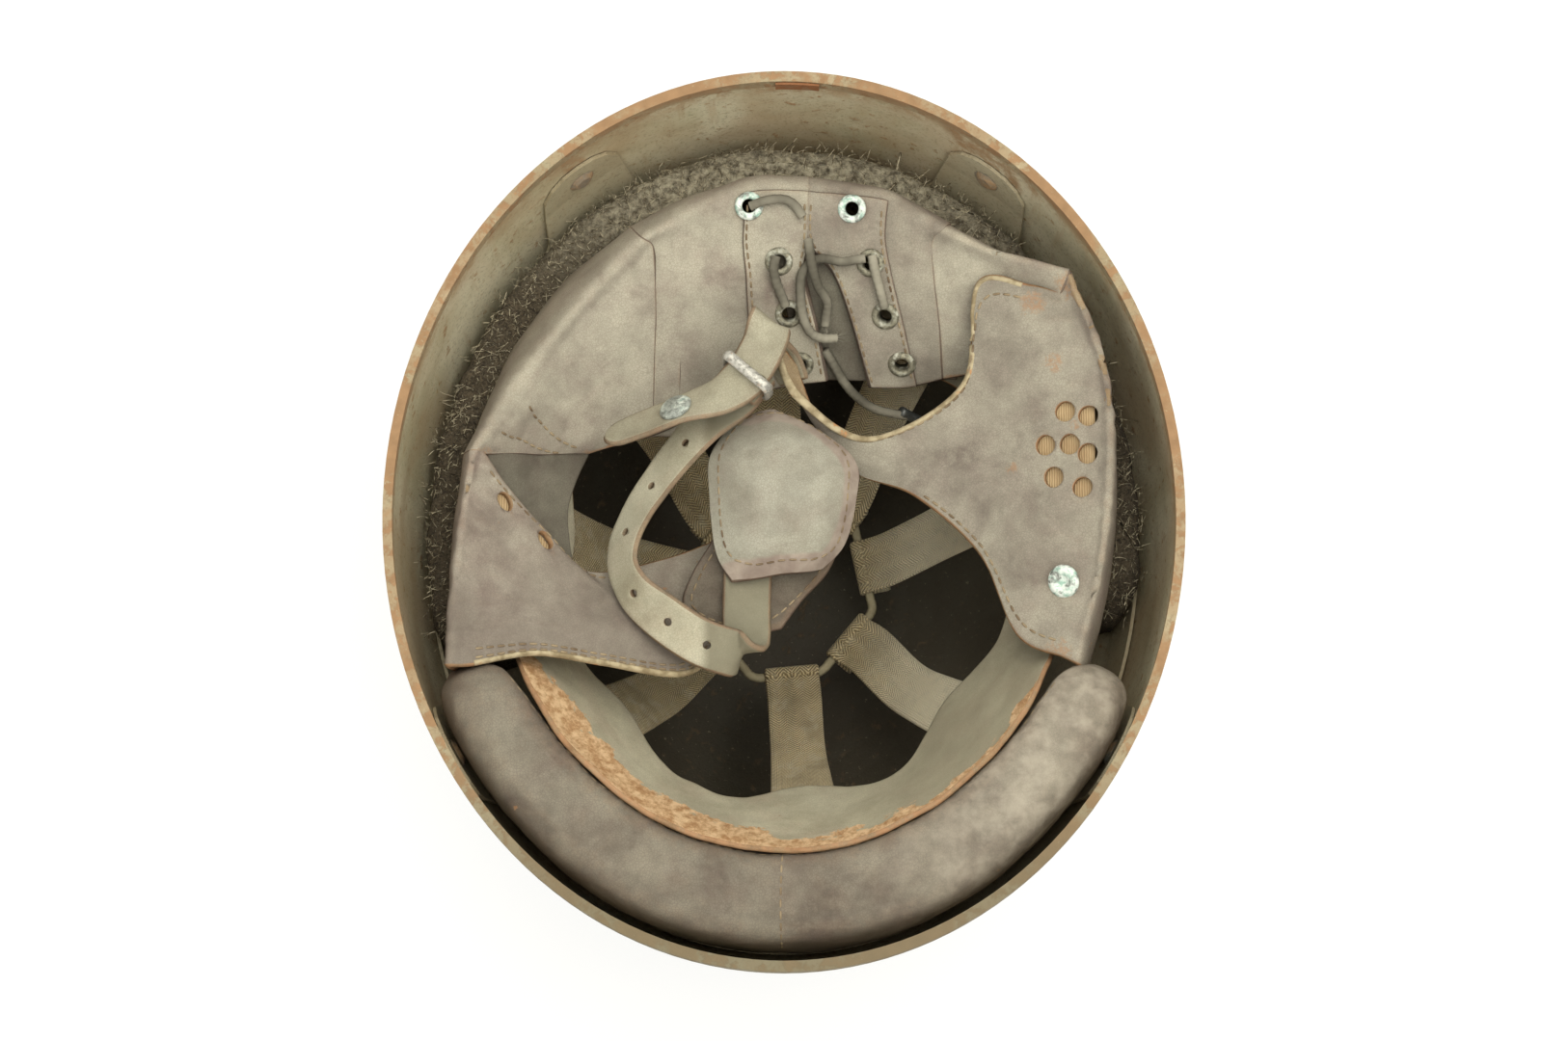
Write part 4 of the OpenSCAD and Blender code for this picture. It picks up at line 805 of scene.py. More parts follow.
def sewn(name, grid, runs, lift, finish, pitch=0.0034, thread=0.0008, flip=False):
    """Rows of thread stitches on a sheet; a run is a list of places across and along it."""
    points, faces = [], []
    for run in runs:
        marks = along(run, 160)
        line = np.array([spot_on(grid, u, v, flip)[0] for u, v in marks])
        outs = np.array([spot_on(grid, u, v, flip)[1] for u, v in marks])
        reach = run_of(line)
        for s in np.arange(pitch / 2, reach[-1], pitch):
            c, out, ahead = [np.array([np.interp(s + d, reach, col[:, k]) for k in range(3)])
                             for col, d in ((line, 0), (outs, 0), (line, pitch * 0.3))]
            heading = unit(ahead - c + 1e-9)
            side = np.cross(out, heading)
            base = len(points)
            for end, width in ((-1, 0.25), (-0.8, 0.85), (0, 1.0), (0.8, 0.85), (1, 0.25)):
                middle = c + out * (lift + thread * 0.12) + heading * end * pitch * 0.36
                points += [middle + (side * math.cos(a) + out * math.sin(a) * 0.8)
                           * thread / 2 * width for a in turns(6)]
            faces += [(base + 6 * k + j, base + 6 * k + 6 + j, base + 6 * k + 6 + (j + 1) % 6,
                       base + 6 * k + (j + 1) % 6) for k in range(4) for j in range(6)]
    return piece(name, points, faces, [finish])


def settled(part):
    """The part's mesh with its modifiers worked in."""
    worked = part.evaluated_get(bpy.context.evaluated_depsgraph_get())
    return bpy.data.meshes.new_from_object(worked)


def punched(part, spots, diameter, steps=20):
    """Cut round holes through a sheet; the cut takes the sheet's edge finish."""
    drills = bpy.data.collections.new(part.name + "_drills")
    for at, direction in spots:
        drill = lathed("drill", [(diameter / 2, -0.004), (diameter / 2, 0.004)], at, direction,
                       [part.data.materials[1]], steps)
        bpy.context.scene.collection.objects.unlink(drill)
        drills.objects.link(drill)
    bpy.context.scene.collection.children.link(drills)
    cut = part.modifiers.new("holes", "BOOLEAN")
    cut.operand_type, cut.collection = "COLLECTION", drills
    cut.solver, cut.material_mode = "EXACT", "TRANSFER"
    solid = settled(part)
    part.modifiers.clear()
    part.data = solid
    for drill in list(drills.objects):
        bpy.data.objects.remove(drill)
    bpy.data.collections.remove(drills)
    return part


# The skirt, the ear flaps and the neck curtain: one suit of thin leather. The skirt is sewn to
# the felt's edge, rises to a soft crest, and turns inward as flaps that lie over the opening.
LEATHER, LINING, LAYER_GAP = 0.002, 0.0009, 0.0003
seam_radius = (wall_radius(0.044, 0.02185) + 0.0024) / HALF_WIDTH * 100
left_flap_ribs = [
    [[-78, -32, 7.5], [-62, -29, 11], [-45, -30, 18], [-25, -31, 25], [-15, -21, 29], [-6, -8, 31]],
    [[-78, -18, 7], [-62, -20, 12], [-46, -22, 19], [-30, -23, 26], [-19, -15, 30], [-8, -4, 32]],
    [[-78, -3, 7.5], [-65, -9, 13], [-50, -14, 20.5], [-35, -16, 27], [-22, -9, 30.5],
     [-9, 0, 32.5]],
    [[-78, 14.5, 9], [-71, 9, 13.5], [-62.5, 1, 18.5], [-51, -8, 24.5], [-30, -4, 31],
     [-10, 4, 33]]]
left_gusset_ribs = [
    [[-75.4, 16.6, 10], [-69.5, 17, 14.5], [-61, 18.2, 20.5], [-50.5, 20.3, 26.5]],
    [[-65.6, 27.2, 11.8], [-61.6, 26, 15.3], [-55, 24.5, 20.5], [-46, 21.5, 27]],
    [[-58, 39.4, 12.5], [-54, 35, 15.8], [-48.5, 30, 20.5], [-42, 22.5, 27.5]],
    [[-47.8, 50, 13.5], [-45.5, 43, 16], [-42.8, 34.5, 20.5], [-38.5, 23.4, 27.8]],
    [[-35, 62, 14.3], [-34.6, 51.5, 16], [-34.8, 38.5, 20.8], [-35.4, 24.3, 28]]]
tucked_ribs = [
    [[-70, -6, 20.5], [-63, -8.5, 25], [-58, -9.5, 28.3], [-54, -10, 31]],
    [[-75.3, 8.6, 14.6], [-68.5, 6.5, 20], [-62, 5.5, 24.3], [-56, 7, 28.6]]]
left_panel_ribs = [
    [[-33, 65.3, 14.5], [-33, 53, 16], [-33.5, 39, 21], [-34, 24.5, 28]],
    [[-24, 66, 15], [-24, 55, 16.5], [-24, 43, 21.5], [-24, 28.5, 28.5]],
    [[-14, 66, 15.3], [-14, 57, 17], [-14, 46, 22], [-13.5, 33, 28.8]],
    [[-6, 66, 15.5], [-5, 58, 17.5], [-3, 47.5, 22], [0, 36, 28.8]],
    [[2.5, 66, 15.5], [5, 59, 17.5], [8, 48.5, 22], [11, 37.5, 28.8]]]
right_panel_ribs = [
    [[9.5, 66, 15.5], [13, 59, 17.5], [18, 48.5, 22], [22.5, 36, 29]],
    [[18, 66, 15.5], [21, 58, 17.5], [25, 48, 22], [29, 36, 29.3]],
    [[27, 66, 15.3], [29, 57, 17.2], [32, 47, 21.8], [35, 36.5, 29]],
    [[37, 66, 14.8], [38.5, 57, 16.8], [40, 47.5, 21], [41, 37.5, 27.5]]]
right_gusset_ribs = [
    [[39.2, 64.6, 14], [40.6, 56, 16.5], [42, 47, 20.8], [43.2, 37.7, 26.8]],
    [[49, 60.8, 13], [50, 53.5, 16], [51, 46, 20.5], [52, 38.5, 25.4]],
    [[59, 56.5, 12.6], [60, 50, 16.5], [60.5, 44, 20.5], [61, 38, 23.8]],
    [[67.5, 51.5, 13.2], [68, 46, 17], [68, 41, 19.5], [67.5, 36, 22.5]]]
right_flap_ribs = [
    [[70, -29.5, 10.8], [59, -24, 14], [50, -5, 18], [34, 9, 22], [19, 15, 25], [9, 24, 21],
     [3, 37, 16]],
    [[77, -10, 8], [65, -4, 12], [52, 5, 17], [36, 13, 21], [19, 17, 23.5], [7.5, 26, 20],
     [1.5, 38.5, 15]],
    [[79, 12, 7.4], [67, 14, 11], [54, 16, 16], [38, 17, 20.5], [19, 19, 22.5], [6, 28, 18.5],
     [0, 40, 14.2]],
    [[78.5, 34, 7.4], [67, 34, 10], [56, 30, 14.5], [41, 22, 19.5], [20, 20.5, 21.5],
     [5, 29, 17.5], [-1.5, 41, 13.5]],
    [[74, 53.2, 8.4], [63, 53.6, 10.5], [49.8, 55.2, 13.3], [46, 33, 17], [22, 21.5, 21],
     [4, 30, 16.5], [-3, 42.5, 12.8]]]
crests = [
    [[-84, -32.5, 6], [-83.2, -18, 5.8], [-81.6, -3, 6.6], [-80, 13, 7.8]],
    [[-77.6, 17.8, 8.6], [-69.6, 30, 10], [-60.6, 41.4, 11], [-50.4, 52.8, 12], [-40, 62.8, 12.4]],
    [[-33.8, 68.2, 12.7], [-25, 71.6, 12.9], [-14, 75.6, 13], [-6, 77.8, 13], [3, 78, 13.4]],
    [[9.5, 77.2, 13.4], [18, 76.4, 13], [28, 74.6, 13], [37.5, 69.8, 12.6]],
    [[45, 65.4, 11.8], [52, 62.6, 11], [61, 59.8, 10], [69, 57.6, 9.2]],
    [[76, 55.6, 8], [81, 34, 6.4], [82.4, 12, 6.2], [79.8, -10, 7.4], [74, -31.5, 10.6]]]
suit = [left_flap_ribs, left_gusset_ribs, left_panel_ribs, right_panel_ribs, right_gusset_ribs,
        right_flap_ribs[::-1]]
sectors = []
for tops, ribs in zip(crests, suit):
    columns = []
    for crest, rib in zip(tops, ribs):
        share = seam_radius / math.hypot(crest[0], crest[1])
        seam, crest_at = placed([[crest[0] * share, crest[1] * share, 26.48], crest])
        middle = (seam + crest_at) / 2 + crest_at * (0.02, 0.02, 0)
        columns.append(np.concatenate([[seam, middle, crest_at], placed(rib)]))
    sectors.append(columns)
for edge, rib in ((sectors[1][-1], left_panel_ribs[0]), (sectors[4][0], right_panel_ribs[-1])):
    edge[4:] += (placed(rib)[1:] - edge[4:]) * 0.8
for before, after in zip(sectors, sectors[1:]):
    shared = (before[-1][:4] + after[0][:4]) / 2
    before[-1][:4] = shared
    after[0][:4] = shared
stitch_thread, tree = finish_of("waxed_thread")
coated(tree, tinted(tree, patch_mask(tree, place_of(tree), 120, 0.5, 0.2), (0.12, 0.08, 0.05, 1),
                    (0.32, 0.25, 0.16, 1)), 0.8)

suit_parts = {}
for side, part_name, columns, across, down, finish, ripple, fold in (
        ("left", "flap", sectors[0], 60, 112, dark_hide, 0.0011, 0.36),
        ("left", "gusset", sectors[1], 84, 84, grey_hide, 0.0006, 0.5),
        ("left", "panel", sectors[2], 64, 84, grey_hide, 0.0006, 0.5),
        ("right", "panel", sectors[3], 48, 84, right_hide_painted_shade, 0.0006, 0.5),
        ("right", "gusset", sectors[4], 44, 84, grey_hide, 0.0005, 0.5),
        ("right", "flap", sectors[5], 84, 130, right_hide_painted_shade, 0.0009, 0.31)):
    grid = ribbed(columns, across, down)[::-1]
    grid = weathered(grid, len(suit_parts) + 1, ripple=ripple, fold=fold)
    is_flap = part_name == "flap"
    part = cut_sheet(f"{side}_{part_name}_leather", grid, LEATHER,
                     [finish, raw_edge if is_flap else dark_edge, flesh_side])
    edge_marks(part, grid, sides=is_flap)
    suit_parts[side, part_name] = part, grid
    stands_for = {"flap": side + "_ear_flap", "gusset": side + "_gusset",
                  "panel": side + "_neck_panel"}[part_name]
    fit(part, "leather", "helmet" if part_name == "gusset" else None, stands_for,
        *(["skirt_band"] if part_name == "flap" and side == "right" else []))

tucked = placed(tucked_ribs + left_gusset_ribs[:2])
tucked[2] = tucked[2] - (0, 0, 0.0009)
tucked[3] = tucked[2] + (tucked[2] - tucked[1]) * 0.12
# Painted shade: a dark copy of the hide for the gusset's tuck and the tongue behind the lace gap,
# which lie in shade.
tuck_hide_painted_shade = leather("tuck_hide_painted_shade", (0.18, 0.16, 0.125, 1), (0.32, 0.3, 0.235, 1),
                    (0.12, 0.1, 0.08, 1), 0.5, 0)
tuck_grid = weathered(ribbed(tucked, 44, 30)[::-1], 23, 0.0006)
tuck = cut_sheet("left_gusset_tuck", tuck_grid, 0.0016, [tuck_hide_painted_shade, dark_edge, flesh_side])
fit(tuck, "leather", "helmet")

# Aprons close the gap under the lines where the curtain parts from the gussets
for apron_name, last, toward in (("left_gusset_apron", sectors[1][-1], 1),
                                 ("right_gusset_apron", sectors[4][0], -1)):
    edge = along(last[3:], 39)
    edge = edge - (0, 0, 0.0017)
    apron_grid = np.array([edge + (toward * step, 0, -0.0006 * (step > 0.003)) for step in
                           np.linspace(-0.004, 0.0085, 12)][::toward])
    apron = cut_sheet(apron_name, apron_grid[::-1], 0.001, [grey_hide, dark_edge, flesh_side])
    fit(apron, "leather", "helmet")


def bend_with(part):
    """Work the piece's placing into its mesh; it is not turned with the flap."""
    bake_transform(part)


left_flap, left_grid = suit_parts["left", "flap"]
right_flap, right_grid = suit_parts["right", "flap"]
left_panel, left_panel_grid = suit_parts["left", "panel"]
right_panel, right_panel_grid = suit_parts["right", "panel"]


def left_flap_place(u, v):
    """A place on the left flap as one on its sheet, which begins at the felt."""
    return 1 - u, (3 + 5 * v) / 8


def right_flap_place(u, v):
    """A place on the right flap as one on its sheet."""
    return u, (3 + 6 * v) / 9


def panel_place(u, v):
    """A place on a panel of the neck curtain as one on its sheet."""
    return u, (3 + 3 * v) / 6


HEARING_HOLE = 0.0065
punched(left_flap, [spot_on(left_grid, *left_flap_place(u, v))
                    for u, v in ((0.88, 0.16), (0.86, 0.34))], HEARING_HOLE)
STUD_PLACE = right_flap_place(0.19, 0.075)
punched(right_flap, [spot_on(right_grid, *right_flap_place(u, v))
                     for u, v in ((0.635, 0.115), (0.625, 0.04), (0.545, 0.175), (0.55, 0.1),
                                  (0.53, 0.04), (0.455, 0.145), (0.44, 0.055))], HEARING_HOLE)
bend_with(left_flap)
bend_with(right_flap)

# The ear flaps' linings: tan woven cloth, cut to the flap and glued behind the hearing holes,
# where it lets sound through.
lining_cloth, tree = finish_of("tan_lining")
where = place_of(tree)
threads = node(tree, "TexWave", {"Vector": where, "Scale": 420, "Distortion": 1.5, "Detail": 2})
threads = threads.outputs[1]
colour = tinted(tree, threads, (0.4, 0.28, 0.15, 1), (0.56, 0.43, 0.26, 1))
coated(tree, tinted(tree, times(tree, patch_mask(tree, where, 70, 0.45, 0.2), 0.6), colour,
                    (0.27, 0.17, 0.09, 1)), 0.95, threads)


def part_of(grid, us, vs, across, down, lift):
    """A second layer over part of a sheet, lifted off it."""
    rows = weights(grid.shape[0], np.linspace(us[0], us[1], across + 1))
    columns = weights(grid.shape[1], np.linspace(vs[0], vs[1], down + 1))
    out = facing(grid)
    return np.einsum("ui,ijx,vj->uvx", rows, grid + out * lift, columns)


below = -(LEATHER + LINING) / 2 - LAYER_GAP
for lining_name, grid, us, vs, body in (
        ("left_flap_lining", left_grid, (0.02, 0.98), (0.4, 0.75), "left_ear_flap"),
        ("right_flap_lining", right_grid, (0.36, 0.9), (0.35, 0.53), "right_ear_flap")):
    lining_grid = part_of(grid, us, vs, 24, 24, below)
    lining = cut_sheet(lining_name + "_cloth", lining_grid, LINING, [lining_cloth])
    bend_with(lining)
    fit(lining, "lining_cloth", None, lining_name)

# The seams of the suit: waxed thread along the flaps' cut edges, one of which on each flap has a
# tan binding folded over it.
binding, tree = finish_of("edge_binding")
where = place_of(tree)
colour = tinted(tree, patch_mask(tree, where, 260, 0.5, 0.15), (0.22, 0.17, 0.1, 1),
                (0.42, 0.35, 0.23, 1))
coated(tree, tinted(tree, patch_mask(tree, where, 130, 0.22, 0.04), colour, (0.4, 0.2, 0.09, 1)),
       0.85, noise_at(tree, where, 900, 4), strength=0.6)
for side, grid, stops in (("left", left_grid, (0.38, 0.97)), ("right", right_grid, (0.465, 0.99))):
    spots = [spot_on(grid, 0.995, v) for v in np.linspace(*stops, 120)]
    line, outs = np.array([spot[0] for spot in spots]), np.array([spot[1] for spot in spots])
    over = unit(np.cross(np.gradient(line, axis=0), outs))
    rolled = np.array([[at + o * 0.00095 * math.cos(a) + out * 0.0014 * math.sin(a)
                        for a in turns(14)] for at, out, o in zip(line, outs, over)])
    rolled = swept(side + "_flap_binding", rolled, [binding])
    bend_with(rolled)
    fit(rolled, "leather")
for seam_name, grid, runs, body in (
        ("left_flap_seams", left_grid,
         [[(0.955, 0.38), (0.955, 0.55), (0.95, 0.75), (0.94, 0.97)],
          [(0.9, 0.38), (0.905, 0.55), (0.9, 0.75), (0.89, 0.97)],
          [(0.05, 0.42), (0.06, 0.6), (0.08, 0.8)]], "left_ear_flap"),
        ("right_flap_seams", right_grid,
         [[(0.945, 0.47), (0.945, 0.6), (0.94, 0.75), (0.9, 0.88), (0.88, 0.98)],
          [(0.045, 0.36), (0.05, 0.5), (0.06, 0.66)]], "right_ear_flap"),
        ("left_gusset_seams", suit_parts["left", "gusset"][1],
         [[(0.75, 0.5), (0.8, 0.7), (0.9, 0.92)],
          [(0.87, 0.46), (0.9, 0.66), (0.975, 0.86)]], "helmet")):
    seam = sewn(seam_name, grid, runs, LEATHER / 2, stitch_thread)
    if body != "helmet":
        bend_with(seam)
    fit(seam, "cord", body if body == "helmet" else None)


# The lacing: leather facings sewn on both edges of the neck curtain, eyelets through them, a
# leather tongue behind the gap, and the lace's crossings.
facing_lift = (LEATHER + LINING) / 2 + LAYER_GAP
eyelet_spots = {
    "left": [panel_place(1 - u, v) for u, v in ((0.84, 0.2), (0.85, 0.58), (0.85, 0.86))],
    "right": [panel_place(1 - u, v) for u, v in ((0.44, 0.2), (0.45, 0.58), (0.5, 0.84))]}
top_spots = {"left": (0.338, 0.4), "right": (0.673, 0.4)}
EYELET_CUT = 0.0063


def corroded(name, metal, white, green, share, metallic=0.6):
    """Plated metal that has gone dull, with white and green bloom and dark pits."""
    made, tree = finish_of(name)
    where = place_of(tree)
    bloom = patch_mask(tree, where, 330, share, 0.08)
    colour = tinted(tree, patch_mask(tree, where, 700, 0.4, 0.15), metal, shade(metal, 0.4))
    powder = tinted(tree, patch_mask(tree, where, 500, 0.4, 0.1), white, green)
    coated(tree, tinted(tree, bloom, colour, powder), spread(tree, bloom, 0, 1, 0.4, 0.9),
           plus(tree, noise_at(tree, where, 1600), times(tree, bloom, 0.7)), strength=0.8,
           Metallic=spread(tree, bloom, 0, 1, metallic, 0.0))
    return made


bloomed = corroded("bloomed_plating", (0.3, 0.31, 0.29, 1), (0.68, 0.72, 0.68, 1),
                   (0.3, 0.45, 0.38, 1), 0.66)
dull_plating = corroded("dull_plating", (0.26, 0.24, 0.18, 1), (0.48, 0.47, 0.4, 1),
                        (0.3, 0.3, 0.24, 1), 0.36, 0.45)
EYELET = [(0.0022, -0.0006), (0.0022, 0.0004), (0.0025, 0.001), (0.0031, 0.0012), (0.0038, 0.001),
          (0.0043, 0.0004), (0.0045, 0), (0.0043, -0.0001), (0.0031, -0.0001), (0.003, -0.0032),
          (0.0038, -0.0034), (0.0037, -0.004), (0.0022, -0.004), (0.0022, -0.0006)]
for side, panel, grid, us in (("left", left_panel, left_panel_grid, (0.01, 0.38)),
                              ("right", right_panel, right_panel_grid, (0.37, 0.99))):
    strip_grid = part_of(grid, us, (0.36, 0.995), 22, 64, facing_lift)
    strip = cut_sheet(side + "_facing", strip_grid, LINING,
                      [grey_hide if side == "left" else right_hide_painted_shade, dark_edge])
    holes = [spot_on(grid, u, v) for u, v in eyelet_spots[side] + [top_spots[side]]]
    punched(panel, holes, EYELET_CUT)
    punched(strip, holes, EYELET_CUT)
    bend_with(panel)
    bend_with(strip)
    fit(strip, "leather", None, side + "_lace_facing")
    edges = (0.93, 0.07) if side == "left" else (0.06, 0.94)
    seam = sewn(side + "_facing_seams", strip_grid,
                [[(edge, v) for v in (0.05, 0.5, 0.97)] for edge in edges], LINING / 2,
                stitch_thread, pitch=0.003, thread=0.0007)
    bend_with(seam)
    fit(seam, "cord")
    for k, (at, out) in enumerate(holes):
        top = k == 3
        ring = lathed(f"{side}_eyelet_{k + 1}", EYELET, at + out * (facing_lift + LINING / 2), out,
                      [bloomed if top else dull_plating])
        fit(ring, "corroded_metal", "helmet" if top else "neck_curtain")
        if k == 0 or (top and side == "left"):
            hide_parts("top_eyelets" if top else side + "_eyelets")
tongue_ribs = [[[-3, 65, 17.4], [-1, 58, 19.4], [2, 48, 24], [5, 38.5, 30.8]],
               [[5, 65, 17.6], [8, 58, 19.6], [12, 48, 24.2], [16, 38, 31]],
               [[14, 65, 17.4], [18, 58, 19.4], [23, 48, 24], [27, 38, 31]]]
tongue_grid = ribbed([placed(rib) for rib in tongue_ribs], 30, 40)[::-1]
behind = cut_sheet("lace_gap_tongue", weathered(tongue_grid, 31, 0.0004), LINING,
                   [tuck_hide_painted_shade, dark_edge])
fit(behind, "leather", "neck_curtain", "lace_tongue")
for lace_name, body, stands_for, route in (
        ("lace_over_fold_1", "helmet", ["lace_over_fold"],
         [[-10.6, 101.6, 19], [-6.4, 103, 17.8], [-1, 103.8, 18.2], [2.8, 102.4, 18.8],
          [6, 98.4, 19.6]]),
        ("lace_crossings_1", "neck_curtain", ["lace_crossings"],
         [[-2.6, 86.2, 22.4], [-3.2, 82, 22.8], [-2, 77.5, 25], [0.6, 71.5, 28.2]]),
        ("lace_crossings_2", "neck_curtain", [],
         [[27.6, 86.4, 21.8], [28.6, 81.6, 22.6], [30.2, 76, 25], [31.6, 71, 28]])):
    lace = swept(lace_name, cord_rings(along(laid(route), 70), LACE, LACE_STRANDS, LACE_PITCH),
                 [lace_finish])
    fit(lace, "cord", body, *stands_for)


# The brow pad: a roll of leather stuffed with hair, lashed inside the liner band across the
# brow. Its cover is sewn in two pieces and has wrinkled where the roll bends.
PAD_GAP = 0.0003
pad_ring = (wall_radius(0.066, 0.00445) - PAD_GAP) / HALF_WIDTH * 100 - 6.2
pad_section = [[-11.5, 9.2], [-9.4, 4.6], [-3, 2.9], [4, 3.2], [8.5, 6], [9.8, 12], [9.6, 20],
               [8.8, 30], [6, 40], [2.5, 43], [-1.5, 40], [-7.5, 28], [-11, 18]]
PAD_START, PAD_ARC = 200.5, 138.5
rings = []
for t in np.linspace(0, 1, 181):
    full = max((1 - abs(2 * t - 1) ** 18) ** 0.42, 0.34)
    ring = pad_ring + 3 * abs(2 * t - 1) ** 6
    rings.append([polar(ring + x * full, PAD_START + PAD_ARC * t, 20 + (d - 20) * full)
                  for x, d in pad_section])
rings = placed(rings)
roll = np.einsum("cr,srx->scx", weights(13, np.linspace(0, 1, 65)[:-1], True), rings)


def skin_of(part):
    """The part's surface, to find places on it."""
    return BVHTree.FromPolygons([v.co[:] for v in part.data.vertices],
                                [list(f.vertices) for f in part.data.polygons])


def stuffed(part, slack, cap, inside=0.0008, outside=0.0002):
    """Stuff a closed cover: it starts slack, swells in a cloth simulation and keeps its shape."""
    full = skin_of(part)
    grid = part.modifiers.new("even", "REMESH")
    grid.mode, grid.voxel_size = "VOXEL", 0.0042
    part.data = settled(part)
    part.modifiers.clear()
    for vertex in part.data.vertices:
        vertex.co -= Vector(full.find_nearest(vertex.co)[1]) * slack
    start = [v.co.copy() for v in part.data.vertices]
    cloth = part.modifiers.new("cover", "CLOTH")
    cloth.settings.use_pressure = True
    cloth.settings.uniform_pressure_force = 4
    cloth.settings.effector_weights.gravity = 0
    for moment in range(1, 21):
        bpy.context.scene.frame_set(moment)
    swollen = settled(part)
    part.modifiers.clear()
    for vertex, at, was in zip(part.data.vertices, swollen.vertices, start):
        move = at.co - was
        vertex.co = was + move * min(1, cap / max(move.length, 1e-9))
    bpy.context.scene.frame_set(1)
    part.modifiers.new("smooth", "SUBSURF").levels = 1
    part.data = settled(part)
    part.modifiers.clear()
    for vertex in part.data.vertices:
        at, out = full.find_nearest(vertex.co)[:2]
        vertex.co = at + out * min(max((vertex.co - at).dot(out), -inside), outside)
    for face in part.data.polygons:
        face.use_smooth = True


pad_hide = leather("pad_hide", (0.205, 0.168, 0.133, 1), (0.38, 0.343, 0.27, 1),
                   (0.13, 0.103, 0.084, 1), 0.55, 0.2, 1.8)
tree = pad_hide.node_tree
# Painted light: the pad's +x side is lightened in broken patches, as lit.
wear_and_painted_light = spread(tree, noise_at(tree, place_of(tree), 130, 5, 0.6), 0.35, 0.7, 0.2, 0.75)
glaze(tree, times(tree, spread(tree, axes(tree)[0], 0.015, 0.075), wear_and_painted_light), (0.5, 0.44, 0.36, 1))
pad = swept("brow_roll", roll[:, ::-1], [pad_hide])
stuffed(pad, 0.0006, 0.005)
places = np.array([v.co[:] for v in pad.data.vertices])
outs = np.array([v.normal[:] for v in pad.data.vertices])
lie = 0.0004 * waves(places, 0.03, 5) + 0.00035 * waves(places * (1, 1, 0.4), 0.008, 6) - 0.0001
pad.data.vertices.foreach_set("co", (places + outs * lie[:, None]).ravel())
fit(pad, "padded_leather", "helmet", "brow_pad")
pad_skin = skin_of(pad)
on_pad = np.array([[pad_skin.find_nearest(Vector(p))[0] for p in row] for row in roll[:, :26]])
for seam_name, grid, run in (
        ("brow_roll_seam", on_pad[8:-8, 0:8], [(0, 0.35), (0.5, 0.35), (1, 0.35)]),
        ("brow_roll_join", on_pad[86:95], [(0.5, 0.04), (0.45, 0.5), (0.5, 0.96)])):
    pad_seam = sewn(seam_name, grid, [run], 0, stitch_thread, pitch=0.0036)
    fit(pad_seam, "cord", "helmet")


# The sweatband: a band of thicker hide round the head opening, sewn to the pad at the brow and
# cut in eight scallops below. Its folded upper edge has rubbed through to orange at the brow.
TAPE_ANGLES = [275, 320, 12, 55, 94, 135, 177, 221]
SWEATBAND = 0.0018
sweat_top = pad_ring - 10 - (SWEATBAND / 2 + PAD_GAP) / HALF_WIDTH * 100


def sweat_rib(angle):
    """The sweatband's section in percent at one direction."""
    t = min(max((math.sin(math.radians(angle)) + 0.57) / 0.34, 0), 1)
    side = t * t * (3 - 2 * t)
    tip = math.cos(math.pi * min(abs((angle - a + 540) % 360 - 180) for a in TAPE_ANGLES) / 45) ** 2
    return [polar(sweat_top, angle, 5.5 + 20 * side),
            polar(sweat_top * 0.55 + 62 * 0.45, angle, 17 + 13 * side),
            polar(60 - 5 * tip, angle, 34 + 5 * tip)]


worn_leather = leather("sweatband_leather", (0.62, 0.57, 0.42, 1), (0.8, 0.77, 0.6, 1),
                       (0.4, 0.35, 0.25, 1), 0.55, 0.1)
tree = worn_leather.node_tree
where = place_of(tree)
across, _, height = axes(tree)
above = less(tree, height, spread(tree, across, -0.035, 0.055, 0.134, 0.1525))
ragged = times(tree, less(tree, noise_at(tree, where, 60, 7, 0.65), 0.5), 0.045)
torn = spread(tree, plus(tree, above, ragged), -0.0006, 0.0008)
grit = noise_at(tree, stretched(tree, where, (1, 1, 0.35)), 330, 6, 0.75)
orange = tinted(tree, spread(tree, grit, 0.35, 0.65), (0.45, 0.23, 0.1, 1), (0.85, 0.6, 0.36, 1))
glaze(tree, spread(tree, across, 0.0, 0.05, 0, 0.5), (0.3, 0.265, 0.185, 1))
glaze(tree, torn, orange)
sweat_ribs = [placed(sweat_rib(360 * k / 64)) for k in range(64)]
sweat_grid = ribbed(sweat_ribs, 340, 40, ring=True)
sweat_grid = weathered(sweat_grid, 41, 0.0007, ring=True)
sweatband = cut_sheet("sweatband_leather_band", sweat_grid, SWEATBAND,
                      [worn_leather, raw_edge, flesh_side], ring=True)
fit(sweatband, "leather", "helmet", "sweatband")


# The crown tapes: eight herringbone cotton tapes sewn under the sweatband's scallops. Each is
# gathered to a narrow end that loops over one twisted cord, whose length sets the head's depth.
tape_cloth, tree = finish_of("herringbone_tape")
where = place_of(tree)
lengthways, crossways, _ = axes(tree, "lay")


def waved(tree, value, span):
    """Even waves of one span, from 0 to 1."""
    turn = times(tree, value, 2 * math.pi / span)
    return spread(tree, node(tree, "Math", {0: turn}, operation="SINE").outputs[0], -1, 1)


